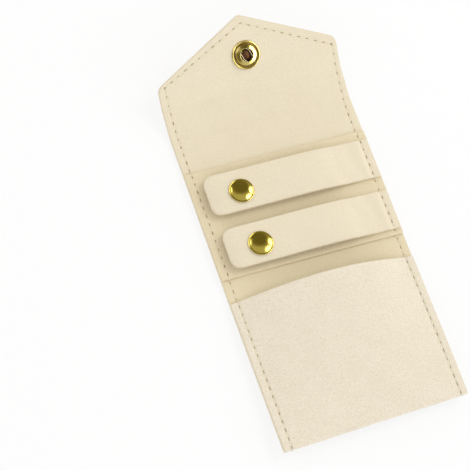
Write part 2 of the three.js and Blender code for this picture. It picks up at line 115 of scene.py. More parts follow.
class Nodes:
    """Adds nodes to one node tree and links them as they are made."""

    def __init__(self, tree: bpy.types.NodeTree) -> None:
        """Keeps the tree that the nodes go into."""
        self.tree = tree

    def feed(self, node: bpy.types.Node, inputs: dict[Any, Any]) -> None:
        """Sets inputs of a node.

        Args:
            node: The node.
            inputs: Socket name or index to a value, or to the socket that feeds it.
        """
        for key, value in inputs.items():
            if isinstance(value, Socket):
                self.tree.links.new(value, node.inputs[key])
            else:
                node.inputs[key].default_value = value

    def add(self, kind: str, inputs: dict[Any, Any] | None = None, **settings: Any) -> bpy.types.Node:
        """Adds one node.

        Args:
            kind: The node's type name.
            inputs: What feeds it, as feed takes it.
            settings: Properties of the node itself.

        Returns:
            The new node.
        """
        node = self.tree.nodes.new(kind)
        for name, value in settings.items():
            setattr(node, name, value)
        self.feed(node, inputs or {})
        return node

    def mix(self, share: Any, first: Any, second: Any) -> Socket:
        """Mixes two colours: the first at a share of 0, the second at 1."""
        return self.add("ShaderNodeMix", {0: share, 6: first, 7: second}, data_type="RGBA").outputs[2]

    def ramp(
        self, value: Socket, low: float, high: float, to_low: float = 0.0, to_high: float = 1.0,
    ) -> Socket:
        """Maps a range of a value to another range, clamped.

        Args:
            value: The socket to map.
            low: Start of its range.
            high: End of its range.
            to_low: Result at the start.
            to_high: Result at the end.

        Returns:
            The mapped socket.
        """
        ends = {"From Min": low, "From Max": high, "To Min": to_low, "To Max": to_high}
        return self.add("ShaderNodeMapRange", {"Value": value, **ends}).outputs["Result"]

    def math(self, operation: str, first: Any, second: Any = 0.0) -> Socket:
        """Adds one math node and gives its result."""
        return self.add("ShaderNodeMath", {0: first, 1: second}, operation=operation).outputs[0]

    def noise(self, vector: Socket, scale: float, detail: float, roughness: float) -> Socket:
        """Adds a noise texture and gives its value."""
        inputs = {"Vector": vector, "Scale": scale, "Detail": detail, "Roughness": roughness}
        return self.add("ShaderNodeTexNoise", inputs).outputs["Fac"]

    def stretched(self, vector: Socket, scale: Place) -> Socket:
        """Scales a vector along its axes."""
        return self.add("ShaderNodeMapping", {"Vector": vector, "Scale": scale}).outputs["Vector"]

    def attribute(self, name: str) -> Socket:
        """Reads one of the mesh's own attributes."""
        return self.add("ShaderNodeAttribute", attribute_name=name).outputs["Fac"]

    def bump(self, height: Socket, strength: float, depth: float) -> Socket:
        """Gives the normal of a surface with a fine relief."""
        inputs = {"Height": height, "Strength": strength, "Distance": depth}
        return self.add("ShaderNodeBump", inputs).outputs["Normal"]


def new_material(name: str) -> tuple[Material, Nodes, bpy.types.Node]:
    """Makes a node material.

    Args:
        name: The material's name.

    Returns:
        The material, its nodes and its main shader.
    """
    material = bpy.data.materials.new(name)
    material.use_nodes = True
    return material, Nodes(material.node_tree), material.node_tree.nodes["Principled BSDF"]


@dataclass(frozen=True)
class Pattern:
    """A noise that shifts a colour: not at all up to its low value, and most from its high value."""

    grain: Grain
    low: float
    high: float
    most: float

    def share(self, nodes: Nodes, vector: Socket) -> Socket:
        """Gives the share by which it shifts the colour."""
        return nodes.ramp(nodes.noise(vector, *self.grain), self.low, self.high, 0.0, self.most)


@dataclass(frozen=True)
class Suede:
    """Microfibre suede: a short brushed nap, faintly mottled, with painted shade in the stitch grooves and
    darker along cut edges.
    """

    name: str
    base: Colour
    shade: Colour
    cut_edge: Colour = (0.62, 0.51, 0.33, 1.0)
    # Colour of the painted shade in the stitch grooves.
    seam: Colour = (0.47, 0.37, 0.21, 1.0)
    mottle: Pattern = Pattern((9.0, 5.0, 0.65), 0.34, 0.68, 0.3)
    cloud: Pattern = Pattern((62.0, 3.0, 0.6), 0.38, 0.66, 0.22)
    pores: Pattern = Pattern((140.0, 1.0, 0.5), 0.6, 0.74, 0.3)
    nap: Grain = (230.0, 3.0, 0.7)
    nap_share: float = 0.6
    fibre: Grain = (420.0, 2.0, 0.6)
    brushed: Place = (1.0, 0.25, 1.0)
    grain_span: Span = (0.36, 0.62)
    grain_depth: float = 0.85
    edge_width: float = 0.3
    edge_depth: float = 0.4
    fray_span: Span = (0.3, 0.6)
    fray_least: float = 0.6
    groove_shade: float = 0.06
    bump: float = 0.45
    bump_depth: float = 0.0001
    smooth_span: Span = (0.3, 0.7)
    smoothest: float = 0.85

    def material(self) -> Material:
        """Builds the finish.

        Returns:
            The suede material, which reads the cloth's own UV map and its edge and groove attributes.
        """
        material, nodes, shader = new_material(self.name)
        flat = nodes.add("ShaderNodeUVMap", uv_map=CLOTH_MAP).outputs["UV"]
        nap = nodes.noise(flat, *self.nap)
        fibre = nodes.noise(nodes.stretched(flat, self.brushed), *self.fibre)
        nap_part = nodes.math("MULTIPLY", nap, self.nap_share)
        grain = nodes.math("ADD", nap_part, nodes.math("MULTIPLY", fibre, 1.0 - self.nap_share))
        edge = nodes.ramp(nodes.attribute("edge"), 0.0, self.edge_width, self.edge_depth, 0.0)
        colour = self.base
        for share, towards in (
            (nodes.math("ADD", self.mottle.share(nodes, flat), self.cloud.share(nodes, flat)), self.shade),
            (nodes.ramp(grain, *self.grain_span, self.grain_depth, 0.0), self.shade),
            (self.pores.share(nodes, flat), self.cut_edge),
            # Painted shade along the pressed stitch grooves.
            (nodes.math("MULTIPLY", nodes.attribute("groove"), self.groove_shade), self.seam),
            (nodes.math("MULTIPLY", edge, nodes.ramp(nap, *self.fray_span, self.fray_least)), self.cut_edge),
        ):
            colour = nodes.mix(share, colour, towards)
        nodes.feed(shader, {
            "Base Color": colour,
            "Normal": nodes.bump(grain, self.bump, self.bump_depth),
            "Roughness": nodes.ramp(nap, *self.smooth_span, self.smoothest),
            "Specular IOR Level": 0.2,
            "Sheen Weight": 0.08,
            "Sheen Roughness": 0.5,
            "Sheen Tint": (1.0, 0.95, 0.86, 1.0),
        })
        return material


@dataclass(frozen=True)
class Brass:
    """Polished gold-coloured brass with faint handling smears, darkened to a deep brown where an attribute
    says, partly patina and partly painted shade.
    """

    name: str
    base: Colour = (0.8, 0.66, 0.15, 1.0)
    warm: Colour = (0.74, 0.58, 0.11, 1.0)
    patina_and_shade_tone: Colour = (0.085, 0.028, 0.02, 1.0)
    smear: Grain = (240.0, 3.0, 0.6)
    warm_span: Span = (0.35, 0.7)
    gloss: float = 0.1
    wear_span: Span = (0.3, 0.75)
    wear: float = 0.1
    dulled: float = 0.3
    scratch: Grain = (2600.0, 2.0, 0.7)
    drawn: Place = (1.0, 0.15, 1.0)
    bump: float = 0.05
    bump_depth: float = 0.00002

    def material(self) -> Material:
        """Builds the finish.

        Returns:
            The brass material, on Object coordinates.
        """
        material, nodes, shader = new_material(self.name)
        place = nodes.add("ShaderNodeTexCoord").outputs["Object"]
        smear = nodes.noise(place, *self.smear)
        scratch = nodes.noise(nodes.stretched(place, self.drawn), *self.scratch)
        patina_and_shade = nodes.attribute("patina_and_shade")
        clean = nodes.mix(nodes.ramp(smear, *self.warm_span), self.base, self.warm)
        worn = nodes.ramp(smear, *self.wear_span, self.gloss, self.gloss + self.wear)
        nodes.feed(shader, {
            "Base Color": nodes.mix(patina_and_shade, clean, self.patina_and_shade_tone),
            "Roughness": nodes.math("ADD", worn, nodes.math("MULTIPLY", patina_and_shade, self.dulled)),
            "Normal": nodes.bump(scratch, self.bump, self.bump_depth),
            "Metallic": 1.0,
        })
        return material


@dataclass(frozen=True)
class Thread:
    """Sewing thread, or with a dark colour the painted shade in the needle holes it runs into."""

    name: str
    base: Colour
    shade: Colour
    ply: Grain = (1500.0, 2.0, 0.6)
    ply_span: Span = (0.35, 0.65)
    roughness: Span = (0.85, 0.65)
    bump: float = 0.4
    bump_depth: float = 0.00008

    def material(self) -> Material:
        """Builds the finish.

        Returns:
            The thread material, on Object coordinates.
        """
        material, nodes, shader = new_material(self.name)
        ply = nodes.noise(nodes.add("ShaderNodeTexCoord").outputs["Object"], *self.ply)
        nodes.feed(shader, {
            "Base Color": nodes.mix(nodes.ramp(ply, *self.ply_span), self.shade, self.base),
            "Normal": nodes.bump(ply, self.bump, self.bump_depth),
            "Roughness": nodes.ramp(ply, *self.ply_span, *self.roughness),
        })
        return material


class Finishes:
    """The finishes of the book, each made once."""

    def __init__(self) -> None:
        """Builds every material of the object."""
        self.lining = Suede("lining_suede", (0.895, 0.81, 0.63, 1.0), (0.775, 0.68, 0.5, 1.0)).material()
        self.outer = Suede(
            "outer_suede", (0.94, 0.86, 0.71, 1.0), (0.75, 0.67, 0.525, 1.0), groove_shade=0.24, bump=0.9,
            nap=(170.0, 3.0, 0.7), pores=Pattern((140.0, 1.0, 0.5), 0.6, 0.74, 0.5),
        ).material()
        self.strap = Suede("strap_suede", (0.88, 0.795, 0.62, 1.0), (0.775, 0.68, 0.505, 1.0)).material()
        # A darker, warmer copy of the lining for the holder and the front's linings: painted shade for the
        # valley between the straps and the pocket.
        self.inner = Suede("shaded_lining_suede", (0.875, 0.775, 0.56, 1.0), (0.75, 0.64, 0.43, 1.0)).material()
        self.brass = Brass("polished_brass").material()
        self.pale_brass = Brass("pale_brass", (0.76, 0.64, 0.24, 1.0), (0.68, 0.54, 0.16, 1.0)).material()
        self.wire = Brass("spring_wire", (0.6, 0.5, 0.36, 1.0), (0.5, 0.38, 0.24, 1.0), gloss=0.25).material()
        self.thread = Thread("sewing_thread", (0.93, 0.84, 0.65, 1.0), (0.8, 0.7, 0.5, 1.0)).material()
        # The needle holes' dark lenses are painted shade.
        self.hole = Thread("needle_hole_shade", (0.44, 0.34, 0.19, 1.0), (0.3, 0.215, 0.11, 1.0)).material()


@dataclass(frozen=True)
class Crease:
    """A soft bend across the panels, in millimetres along them from the middle of the back panel."""

    at: float
    lift: float
    half: float

    @property
    def far(self) -> float:
        """Gives the sign of the side that turns."""
        return math.copysign(1.0, self.at)

    def turn(self, s: Array) -> Array:
        """Gives the bend at rest, in radians, at places along the panels."""
        t = np.clip((self.far * (s - self.at) + self.half) / (2 * self.half), 0.0, 1.0)
        return self.far * self.lift * t * t * (3 - 2 * t)


@dataclass(frozen=True)
class Book:
    """Sizes that the sub-assemblies share, in millimetres, and how the open panels lie."""

    width: float = 72.0
    back_length: float = 59.6
    flap_fold: float = 11.4
    flap_drop_left: float = 7.8
    flap_drop_right: float = 12.0
    flap_reach: float = 28.3
    shoulder_ease: float = 4.0
    tip_ease: float = 2.5
    front_fold: float = 8.4
    front_left: float = 59.0
    front_right: float = 56.8
    cloth: float = 0.6
    seam_inset: float = 2.8
    hem_inset: float = 1.05
    groove_depth: float = 0.14
    flap_lift: float = math.radians(15.4)
    front_lift: float = math.radians(0.958)
    flap_bend: float = 2.2
    front_bend: float = 1.7
    ripple: float = 0.12
    ripple_run: float = 12.0
    ripple_waves: Sequence[Wave] = ((1.0, 0.11, 0.06, 0.4), (0.7, 0.19, -0.12, 1.9))
    closure_reach: float = 12.9
    stud_reach: float = 46.936
    seam_point: Span = (0.37, 3.3)
    seam_foot: dict[Half, float] = field(default_factory=lambda: {Half.LEFT: 0.915, Half.RIGHT: 0.926})
    seam_run: dict[Half, Sequence[Span]] = field(default_factory=lambda: {
        Half.LEFT: ((0.918, -20.0), (0.922, 25.0), (0.924, 49.0)),
        Half.RIGHT: ((0.915, 23.0), (0.945, 41.0), (0.947, 50.5)),
    })

    @property
    def half(self) -> float:
        """Gives half the width."""
        return self.width / 2

    @property
    def sheet(self) -> float:
        """Gives the thickness of the two glued cloths."""
        return 2 * self.cloth

    @property
    def flap_start(self) -> float:
        """Gives the place along the panels where the flap begins."""
        return self.back_length / 2 + self.flap_fold

    @property
    def front_start(self) -> float:
        """Gives the place along the panels where the front begins."""
        return -self.back_length / 2 - self.front_fold

    @property
    def creases(self) -> tuple[Crease, Crease, Crease, Crease]:
        """Gives the creases from the outside in: flap upper, flap, front lower, front."""
        return (
            Crease(self.flap_start, self.flap_lift, self.flap_bend),
            Crease(self.back_length / 2, self.flap_lift, self.flap_bend),
            Crease(self.front_start, self.front_lift, self.front_bend),
            Crease(-self.back_length / 2, self.front_lift, self.front_bend),
        )

    @property
    def tip(self) -> float:
        """Gives the place along the panels of the flap's point."""
        return self.flap_start + self.flap_reach

    @property
    def on_flap(self) -> float:
        """Gives the place along the panels of the closure's cap and socket."""
        return self.flap_start + self.closure_reach

    @property
    def on_front(self) -> float:
        """Gives the place along the panels of the closure's stud."""
        return self.front_start - self.stud_reach

    def shoulder(self, half: Half) -> float:
        """Gives the place along the panels of one shoulder of the flap."""
        return self.flap_start + (self.flap_drop_left if half is Half.LEFT else self.flap_drop_right)

    def bottom(self, half: Half) -> float:
        """Gives the place along the panels of one bottom corner."""
        return self.front_start - (self.front_left if half is Half.LEFT else self.front_right)

    def side_seam(self, half: Half) -> Array:
        """Gives one side's stitch line, which wanders from the edge, from the hem up to the shoulder."""
        foot = (self.seam_foot[half], self.bottom(half) + self.hem_inset)
        return np.array([(self.half * half.value * share, s) for share, s in (foot, *self.seam_run[half])])

    def side_seams(self) -> list[Array]:
        """Gives the stitch lines of both sides."""
        return [self.side_seam(half) for half in Half]

    def slope_seams(self) -> list[Array]:
        """Gives the stitch lines along the flap's two slopes, each from its shoulder to the point."""
        x, below_tip = self.seam_point
        return [np.array([seam[-1], (x, self.tip - below_tip)]) for seam in self.side_seams()]

    def place(self, x: Array, s: Array, n: Array) -> Array:
        """Lays points of the flat panels where the open book has them.

        Args:
            x: Across the width.
            s: Along the panels from the middle of the back panel.
            n: Height above the panels' inner face.

        Returns:
            Points in millimetres, one row each.
        """
        x, s, n = np.broadcast_arrays(np.asarray(x, float), np.asarray(s, float), np.asarray(n, float))
        wave = sum(size * np.sin(a * s + b * x + start) for size, a, b, start in self.ripple_waves)
        loose = np.clip((np.abs(s) - self.back_length / 2) / self.ripple_run, 0.0, 1.0)
        y, z = s.copy(), n + self.ripple * loose * wave
        for crease in self.creases:
            turn = crease.turn(s)
            reach = y - crease.at
            y = crease.at + reach * np.cos(turn) - z * np.sin(turn)
            z = reach * np.sin(turn) + z * np.cos(turn)
        return np.stack([x, y, z + self.sheet], -1)

    def up(self, s: Array) -> Array:
        """Gives the panels' inner normal at places along them."""
        turn = sum(crease.turn(np.asarray(s, float)) for crease in self.creases)
        return np.stack([np.zeros_like(turn), -np.sin(turn), np.cos(turn)], -1)

    def bend_points(self, crease: Crease) -> tuple[Vector, Vector]:
        """Finds where a crease's soft bend is.

        Args:
            crease: The crease.

        Returns:
            The bend's start and end in metres, on the middle of the cloth.
        """
        span = crease.at + crease.far * crease.half * np.array((-1.0, 1.0))
        start, end = self.place(np.zeros(2), span, np.full(2, -self.cloth)) * MM
        return Vector(start), Vector(end)


def unit(vector: Array) -> Array:
    """Gives vectors of length one."""
    return vector / np.linalg.norm(vector, axis=-1, keepdims=True)


def distance_to(points: Array, starts: Array, ends: Array) -> Array:
    """Measures how far points are from the nearest of some straight sides.

    Args:
        points: Points in the plane.
        starts: One end of each side.
        ends: The other end of each side.

    Returns:
        One distance for each point.
    """
    nearest = np.full(len(points), np.inf)
    for a, b in zip(starts, ends):
        side = b - a
        share = np.clip(((points - a) @ side) / max(side @ side, TOUCHING ** 2), 0.0, 1.0)
        nearest = np.minimum(nearest, np.linalg.norm(points - a - share[:, None] * side, axis=1))
    return nearest


def inside(points: Array, outline: Array) -> Array:
    """Tells which points lie within a closed outline.

    Args:
        points: Points in the plane.
        outline: The outline's points in order.

    Returns:
        True for each point within it.
    """
    within = np.zeros(len(points), bool)
    for (ax, ay), (bx, by) in zip(outline, np.roll(outline, -1, 0)):
        if ay != by:
            crosses = (ay > points[:, 1]) != (by > points[:, 1])
            within ^= crosses & (points[:, 0] < ax + (points[:, 1] - ay) * (bx - ax) / (by - ay))
    return within


def resampled(points: Array, spacing: float) -> Array:
    """Puts points at an even spacing along a chain, its corners kept.

    Args:
        points: The chain's corners.
        spacing: The longest step between two points.

    Returns:
        The chain's points.
    """
    found = [points[:1]]
    for a, b in zip(points[:-1], points[1:]):
        steps = max(1, math.ceil(np.linalg.norm(b - a) / spacing))
        found.append(a + (b - a) * np.arange(1, steps + 1)[:, None] / steps)
    return np.vstack(found)


def smooth_line(points: Sequence[Span], steps: int = 5) -> Profile:
    """Draws a smooth line through points.

    Args:
        points: Points that the line passes through.
        steps: Parts of each stretch between two points.

    Returns:
        The line's points.
    """
    given = np.array(points, float)
    ends = np.vstack([2 * given[0] - given[1], given, 2 * given[-1] - given[-2]])
    line = []
    for a, b, c, d in zip(ends[:-3], ends[1:-2], ends[2:-1], ends[3:]):
        for t in np.arange(steps) / steps:
            square, cube = 2 * a - 5 * b + 4 * c - d, 3 * b - a - 3 * c + d
            line.append(tuple((2 * b + (c - a) * t + square * t ** 2 + cube * t ** 3) / 2))
    return [*line, tuple(given[-1])]


def new_mesh(name: str, points: Any, faces: Sequence[Sequence[int]], material: Material) -> Mesh:
    """Makes a smoothly shaded mesh of one finish.

    Args:
        name: The mesh's name.
        points: Its vertices.
        faces: The vertex numbers of each face.
        material: Its finish.

    Returns:
        The new mesh.
    """
    mesh = bpy.data.meshes.new(name)
    mesh.from_pydata(points, [], faces)
    mesh.polygons.foreach_set("use_smooth", [True] * len(mesh.polygons))
    mesh.materials.append(material)
    return mesh


def give_attribute(mesh: Mesh, name: str, values: Array) -> None:
    """Stores one number for each vertex."""
    mesh.attributes.new(name, "FLOAT", "POINT").data.foreach_set("value", np.asarray(values, np.float32))


def give_uv(mesh: Mesh, flat: Array) -> None:
    """Stores the flat place of each vertex as the cloth's UV map.

    Args:
        mesh: The cloth's mesh.
        flat: One place for each vertex, in units of the map.
    """
    index = np.zeros(len(mesh.loops), np.int32)
    mesh.loops.foreach_get("vertex_index", index)
    layer = mesh.uv_layers.new(name=CLOTH_MAP)
    layer.uv.foreach_set("vector", flat[index].astype(np.float32).ravel())


def mark_sharp(mesh: Mesh, pairs: set[tuple[int, int]]) -> None:
    """Keeps shading apart across some edges.

    Args:
        mesh: The mesh.
        pairs: The edges' two vertices, the lower number first.
    """
    ends = np.zeros(2 * len(mesh.edges), np.int32)
    mesh.edges.foreach_get("vertices", ends)
    sharp = [tuple(sorted(pair)) in pairs for pair in ends.reshape(-1, 2).tolist()]
    mesh.attributes.new("sharp_edge", "BOOLEAN", "EDGE").data.foreach_set("value", sharp)


def linked(name: str, data: bpy.types.ID) -> Piece:
    """Puts a mesh, lamp or camera into the scene.

    Args:
        name: The object's name.
        data: Its mesh, lamp or camera.

    Returns:
        The object, at the origin.
    """
    piece = bpy.data.objects.new(name, data)
    bpy.context.scene.collection.objects.link(piece)
    return piece


@dataclass(frozen=True)
class Pucker:
    """The low ring of cloth that stands up round a snap pressed into it, at a place on the flat cut."""

    x: float
    s: float
    radius: float
    rise: float = 0.13
    spread: float = 0.8
    clear: float = 0.5

    def height(self, x: Array, s: Array) -> Array:
        """Gives how far the cloth stands up at places on the cut."""
        away = np.hypot(x - self.x, s - self.s) - self.radius - self.clear
        return self.rise * np.exp(-((away / self.spread) ** 2))


class Lie(Protocol):
    """How a flat cut of cloth lies on the object."""

    def place(self, x: Array, s: Array, h: Array, groove: Array) -> Array:
        """Lays points of the cut.

        Args:
            x: Across the cut.
            s: Along the cut.
            h: Height above the cut's underside.
            groove: How deep the point is in a stitch line, 0 to 1.

        Returns:
            Points in millimetres, one row each.
        """


@dataclass(frozen=True)
class PanelLie:
    """Cloth that lies along the book's panels, pressed in along the stitch lines on its showing face."""

    book: Book
    base: float
    thick: float
    shows: Face = Face.INSIDE
    free_edge: float = math.inf
    free_lift: float = 0.0
    free_run: float = 9.0
    puckers: Sequence[Pucker] = ()

    def place(self, x: Array, s: Array, h: Array, groove: Array) -> Array:
        """Lays points of the cut on the panels, as Lie says."""
        share = h / self.thick
        pressed = -share if self.shows is Face.INSIDE else 1 - share
        level = self.base + h + self.book.groove_depth * groove * pressed
        for pucker in self.puckers:
            level = level - pucker.height(x, s) * pressed
        if self.free_lift:
            near = np.clip(1 - (self.free_edge - s) / self.free_run, 0.0, 1.0)
            level = level + self.free_lift * near ** 2 * np.cos(x / self.book.width * math.pi) ** 2
        return self.book.place(x, s, level)


@dataclass
class ClothCut:
    """One flat piece of cloth as it is cut, with rounded cut edges and stitch lines pressed into it."""

    corners: Sequence[Corner]
    thick: float
    seams: Sequence[Array] = ()
    joined: Sequence[float] = ()
    edge: float = 0.2
    edge_turns: Sequence[float] = (0.0, 30.0, 60.0, 90.0)
    edge_fade: float = 1.5
    ease_points: int = 9
    spacing: float = 0.6
    row_share: float = 0.87
    clear_share: float = 0.5
    seam_step: float = 0.7
    seam_clear: float = 1.15
    seam_rows: Sequence[float] = (-0.8, -0.5, -0.25, 0.0, 0.25, 0.5, 0.8)
    groove_width: float = 0.4

    def outline(self) -> Array:
        """Eases the corners.

        Returns:
            The outline's points, counter-clockwise, at an even spacing.
        """
        points = []
        for i, (x, s, radius) in enumerate(self.corners):
            here = np.array((x, s))
            if radius <= 0:
                points.append(here)
                continue
            back = unit(np.array(self.corners[i - 1][:2]) - here)
            onward = unit(np.array(self.corners[(i + 1) % len(self.corners)][:2]) - here)
            run = radius / math.tan(math.acos(np.clip(back @ onward, -1, 1)) / 2)
            for t in np.linspace(0.0, 1.0, self.ease_points):
                points.append(here + run * ((1 - t) ** 2 * back + t * t * onward))
        return resampled(np.array([*points, points[0]]), self.spacing)[:-1]

    def flat(self) -> Span:
        """Gives the width and length of the flat cut in metres."""
        return tuple(float(v) for v in np.ptp(self.outline(), axis=0) * MM)

    def free_sides(self, line: Array) -> Array:
        """Tells which sides of the outline are cut edges, and not joins to the next stretch.

        Args:
            line: The outline.

        Returns:
            True for each cut side.
        """
        free, ends = np.ones(len(line), bool), np.roll(line, -1, 0)
        for s in self.joined:
            free &= ~((np.abs(line[:, 1] - s) < TOUCHING) & (np.abs(ends[:, 1] - s) < TOUCHING))
        return free

    def rim(self, line: Array, free: Array) -> list[Array]:
        """Rounds the cut edges.

        Args:
            line: The outline.
            free: Which of its sides are cut edges.

        Returns:
            The points of each ring, from the upper face down to the under face.
        """
        onward = unit(np.roll(line, -1, 0) - line)
        outward = np.stack([onward[:, 1], -onward[:, 0]], -1)
        before, free_before = np.roll(outward, 1, 0), np.roll(free, 1)
        mitre = (outward + before) / (1 + (outward * before).sum(-1, keepdims=True))
        lone = np.where(free[:, None], outward, np.where(free_before[:, None], before, 0.0))
        mitre = np.where((free & free_before)[:, None], mitre, lone)
        turn = np.radians(self.edge_turns)
        inset, fall = self.edge * (1 - np.sin(turn)), self.edge * (1 - np.cos(turn))
        levels = [*zip(inset, self.thick - fall), *zip(inset[::-1], fall[::-1])]
        return [np.column_stack([line - mitre * d, np.full(len(line), h)]) for d, h in levels]

    def inner_points(self, ring: Array) -> Array:
        """Fills the cut with points, closer together along the stitch lines.

        Args:
            ring: The outline of the cut's flat face.

        Returns:
            Points well inside the ring.
        """
        low, high = ring.min(0), ring.max(0)
        columns = np.arange(low[0], high[0], self.spacing)
        rows = np.arange(low[1], high[1], self.spacing * self.row_share)
        x, s = np.meshgrid(columns, rows)
        x = x + np.where(np.arange(len(rows)) % 2, self.spacing / 2, 0.0)[:, None]
        grid, beside = np.stack([x.ravel(), s.ravel()], -1), []
        for seam in self.seams:
            line = resampled(seam, self.seam_step)
            along = unit(np.gradient(line, axis=0))
            normal = np.stack([-along[:, 1], along[:, 0]], -1)
            grid = grid[distance_to(grid, seam[:-1], seam[1:]) > self.seam_clear]
            beside += [line + offset * normal for offset in self.seam_rows]
        points = np.vstack([grid, *beside])
        points = points[inside(points, ring)]
        return points[distance_to(points, ring, np.roll(ring, -1, 0)) > self.clear_share * self.spacing]

    def faces(self, ring: Array, inner: Array, rings: int) -> list[Sequence[int]]:
        """Joins the points of the rim, then those inside the upper face, then those inside the under face.

        Args:
            ring: The outline of the cut's flat face.
            inner: The points inside it.
            rings: How many rings the rim has.

        Returns:
            The vertex numbers of each face.
        """
        count, last, top = len(ring), (rings - 1) * len(ring), rings * len(ring)
        sides = [(i, (i + 1) % count) for i in range(count)]
        flat = [Vector(p) for p in np.vstack([ring, inner])]
        _, _, found, original, _, _ = delaunay_2d_cdt(flat, sides, [], 1, 1e-7)
        triangles = np.array([ids[0] for ids in original])[np.array(found)]
        upper = np.where(triangles < count, triangles, triangles - count + top)
        under = np.where(triangles < count, triangles + last, triangles - count + top + len(inner))
        walls = [
            (k + i, k + count + i, k + count + j, k + j)
            for k in range(0, last, count)
            for i, j in sides
        ]
        return [*upper.tolist(), *under[:, ::-1].tolist(), *walls]

    def sharp_pairs(self, free: Array, rings: int) -> set[tuple[int, int]]:
        """Finds the edges that keep their shading apart: along the joins, and down the rim at their ends.

        Args:
            free: Which sides of the outline are cut edges.
            rings: How many rings the rim has.

        Returns:
            The edges' two vertices, the lower number first.
        """
        count, last = len(free), (rings - 1) * len(free)
        joins = [(i, (i + 1) % count) for i in range(count) if not free[i]]
        pairs = {tuple(sorted((a + k, b + k))) for a, b in joins for k in (0, last)}
        turns = [i for i in range(count) if free[i] != free[i - 1]]
        return pairs | {(k + i, k + count + i) for i in turns for k in range(0, last, count)}

    def build(self, name: str, lie: Lie, material: Material) -> Piece:
        """Makes the closed cloth and lays it.

        Args:
            name: The piece's name.
            lie: How the cut lies on the object.
            material: Its finish.

        Returns:
            The piece, at the origin, with its place in its mesh.
        """
        line = self.outline()
        free = self.free_sides(line)
        rings = self.rim(line, free)
        ring = rings[0][:, :2]
        inner = self.inner_points(ring)
        levels = [np.column_stack([inner, np.full(len(inner), h)]) for h in (self.thick, 0.0)]
        points = np.vstack([*rings, *levels])
        x, s, h = points.T
        groove = np.zeros(len(points))
        for seam in self.seams:
            away = distance_to(points[:, :2], seam[:-1], seam[1:])
            groove = np.maximum(groove, np.exp(-((away / self.groove_width) ** 2)))
        from_edge = distance_to(points[:, :2], line[free], np.roll(line, -1, 0)[free])
        mesh = new_mesh(name, lie.place(x, s, h, groove) * MM, self.faces(ring, inner, len(rings)), material)
        give_attribute(mesh, "groove", groove)
        give_attribute(mesh, "edge", np.clip(from_edge / self.edge_fade, 0.0, 1.0))
        give_uv(mesh, np.column_stack([x, s + h]) / UV_SPAN)
        mark_sharp(mesh, self.sharp_pairs(free, len(rings)))
        return linked(name, mesh)

    def dress(
        self, name: str, lie: Lie, material: Material, nodes: Sequence[str], slot: str, held: str,
        below: Sequence[str],
    ) -> Piece:
        """Args:
            name: The piece's name.
            lie: How the cut lies on the object.
            material: Its finish.
            nodes: The frame's nodes that it stands for.
            slot: The record's material slot; not used.
            held: How the sheet is held; not used.
            below: The pieces it lies on; not used.

        Returns:
            The piece, not on a body yet.
        """
        piece = self.build(name, lie, material)
        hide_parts(*nodes)
        LOG.info("%s: %d faces", piece.name, len(piece.data.polygons))
        return piece


def rectangle(half: float, low: float, high: float, ease: float = 0.0) -> list[Corner]:
    """Gives the corners of a plain cut across the book, counter-clockwise."""
    return [(-half, low, ease), (half, low, ease), (half, high, ease), (-half, high, ease)]


@dataclass
class Panel:
    """One stretch of the panels between two joins, bending at one crease: its outer cloth and its lining."""

    name: str
    book: Book
    low: float
    high: float
    crease: Crease
    bodies: tuple[str, str]
    nodes: tuple[str, str]
    joined: tuple[float, ...]
    corners: Sequence[Corner] = ()
    pitch: float = 3.4
    hole: Span = (0.8, 0.2)
    # deep picks the darker lining copy, which is painted shade.
    deep: bool = False
    puckers: dict[Layer, Sequence[Pucker]] = field(default_factory=dict)

    def build(self, finishes: Finishes) -> None:
        """Makes both cloths and lays them along the panels.

        Args:
            finishes: The book's materials.
        """
        book = self.book
        corners = self.corners or rectangle(book.half, self.low, self.high)
        cut = ClothCut(corners, book.cloth, [*book.side_seams(), *book.slope_seams()], self.joined)
        start, end = book.bend_points(self.crease)
        below: list[str] = []
        for layer, base, shows, finish in (
            (Layer.OUTER, -book.sheet, Face.OUTSIDE, finishes.outer),
            (Layer.LINING, -book.cloth, Face.INSIDE, finishes.inner if self.deep else finishes.lining),
        ):
            lie = PanelLie(book, base, book.cloth, shows, puckers=self.puckers.get(layer, ()))
            nodes = [f"{layer.value}_{node}" for node in self.nodes]
            name, slot = f"{self.name}_{layer.value}_cloth", f"{layer.value}_cloth"
            piece = cut.dress(name, lie, finish, nodes, slot, "stretched", below)
            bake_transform(piece)
            below = [piece.name]


@dataclass
class Holder:
    """The holder panel on the back, sewn into both side seams and free along its top edge."""

    book: Book
    low: float = -29.2
    high: float = 14.5
    ease: float = 0.6
    base: float = 0.04
    thick: float = 0.66
    free_lift: float = 0.22

    @property
    def face(self) -> float:
        """Gives the height of its showing face above the panel."""
        return self.base + self.thick

    def build(self, finishes: Finishes) -> None:
        """Makes the holder's cloth on the back panel.

        Args:
            finishes: The book's materials.
        """
        book = self.book
        cut = ClothCut(rectangle(book.half, self.low, self.high, self.ease), self.thick, book.side_seams())
        lie = PanelLie(book, self.base, self.thick, Face.INSIDE, self.high, self.free_lift)
        # The holder takes the darker lining copy, which is painted shade.
        piece = cut.dress(
            "holder_cloth", lie, finishes.inner, ["holder_panel"], "lining_cloth", "laid",
            ["back_upper_lining_cloth"],
        )
        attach(piece, "back")


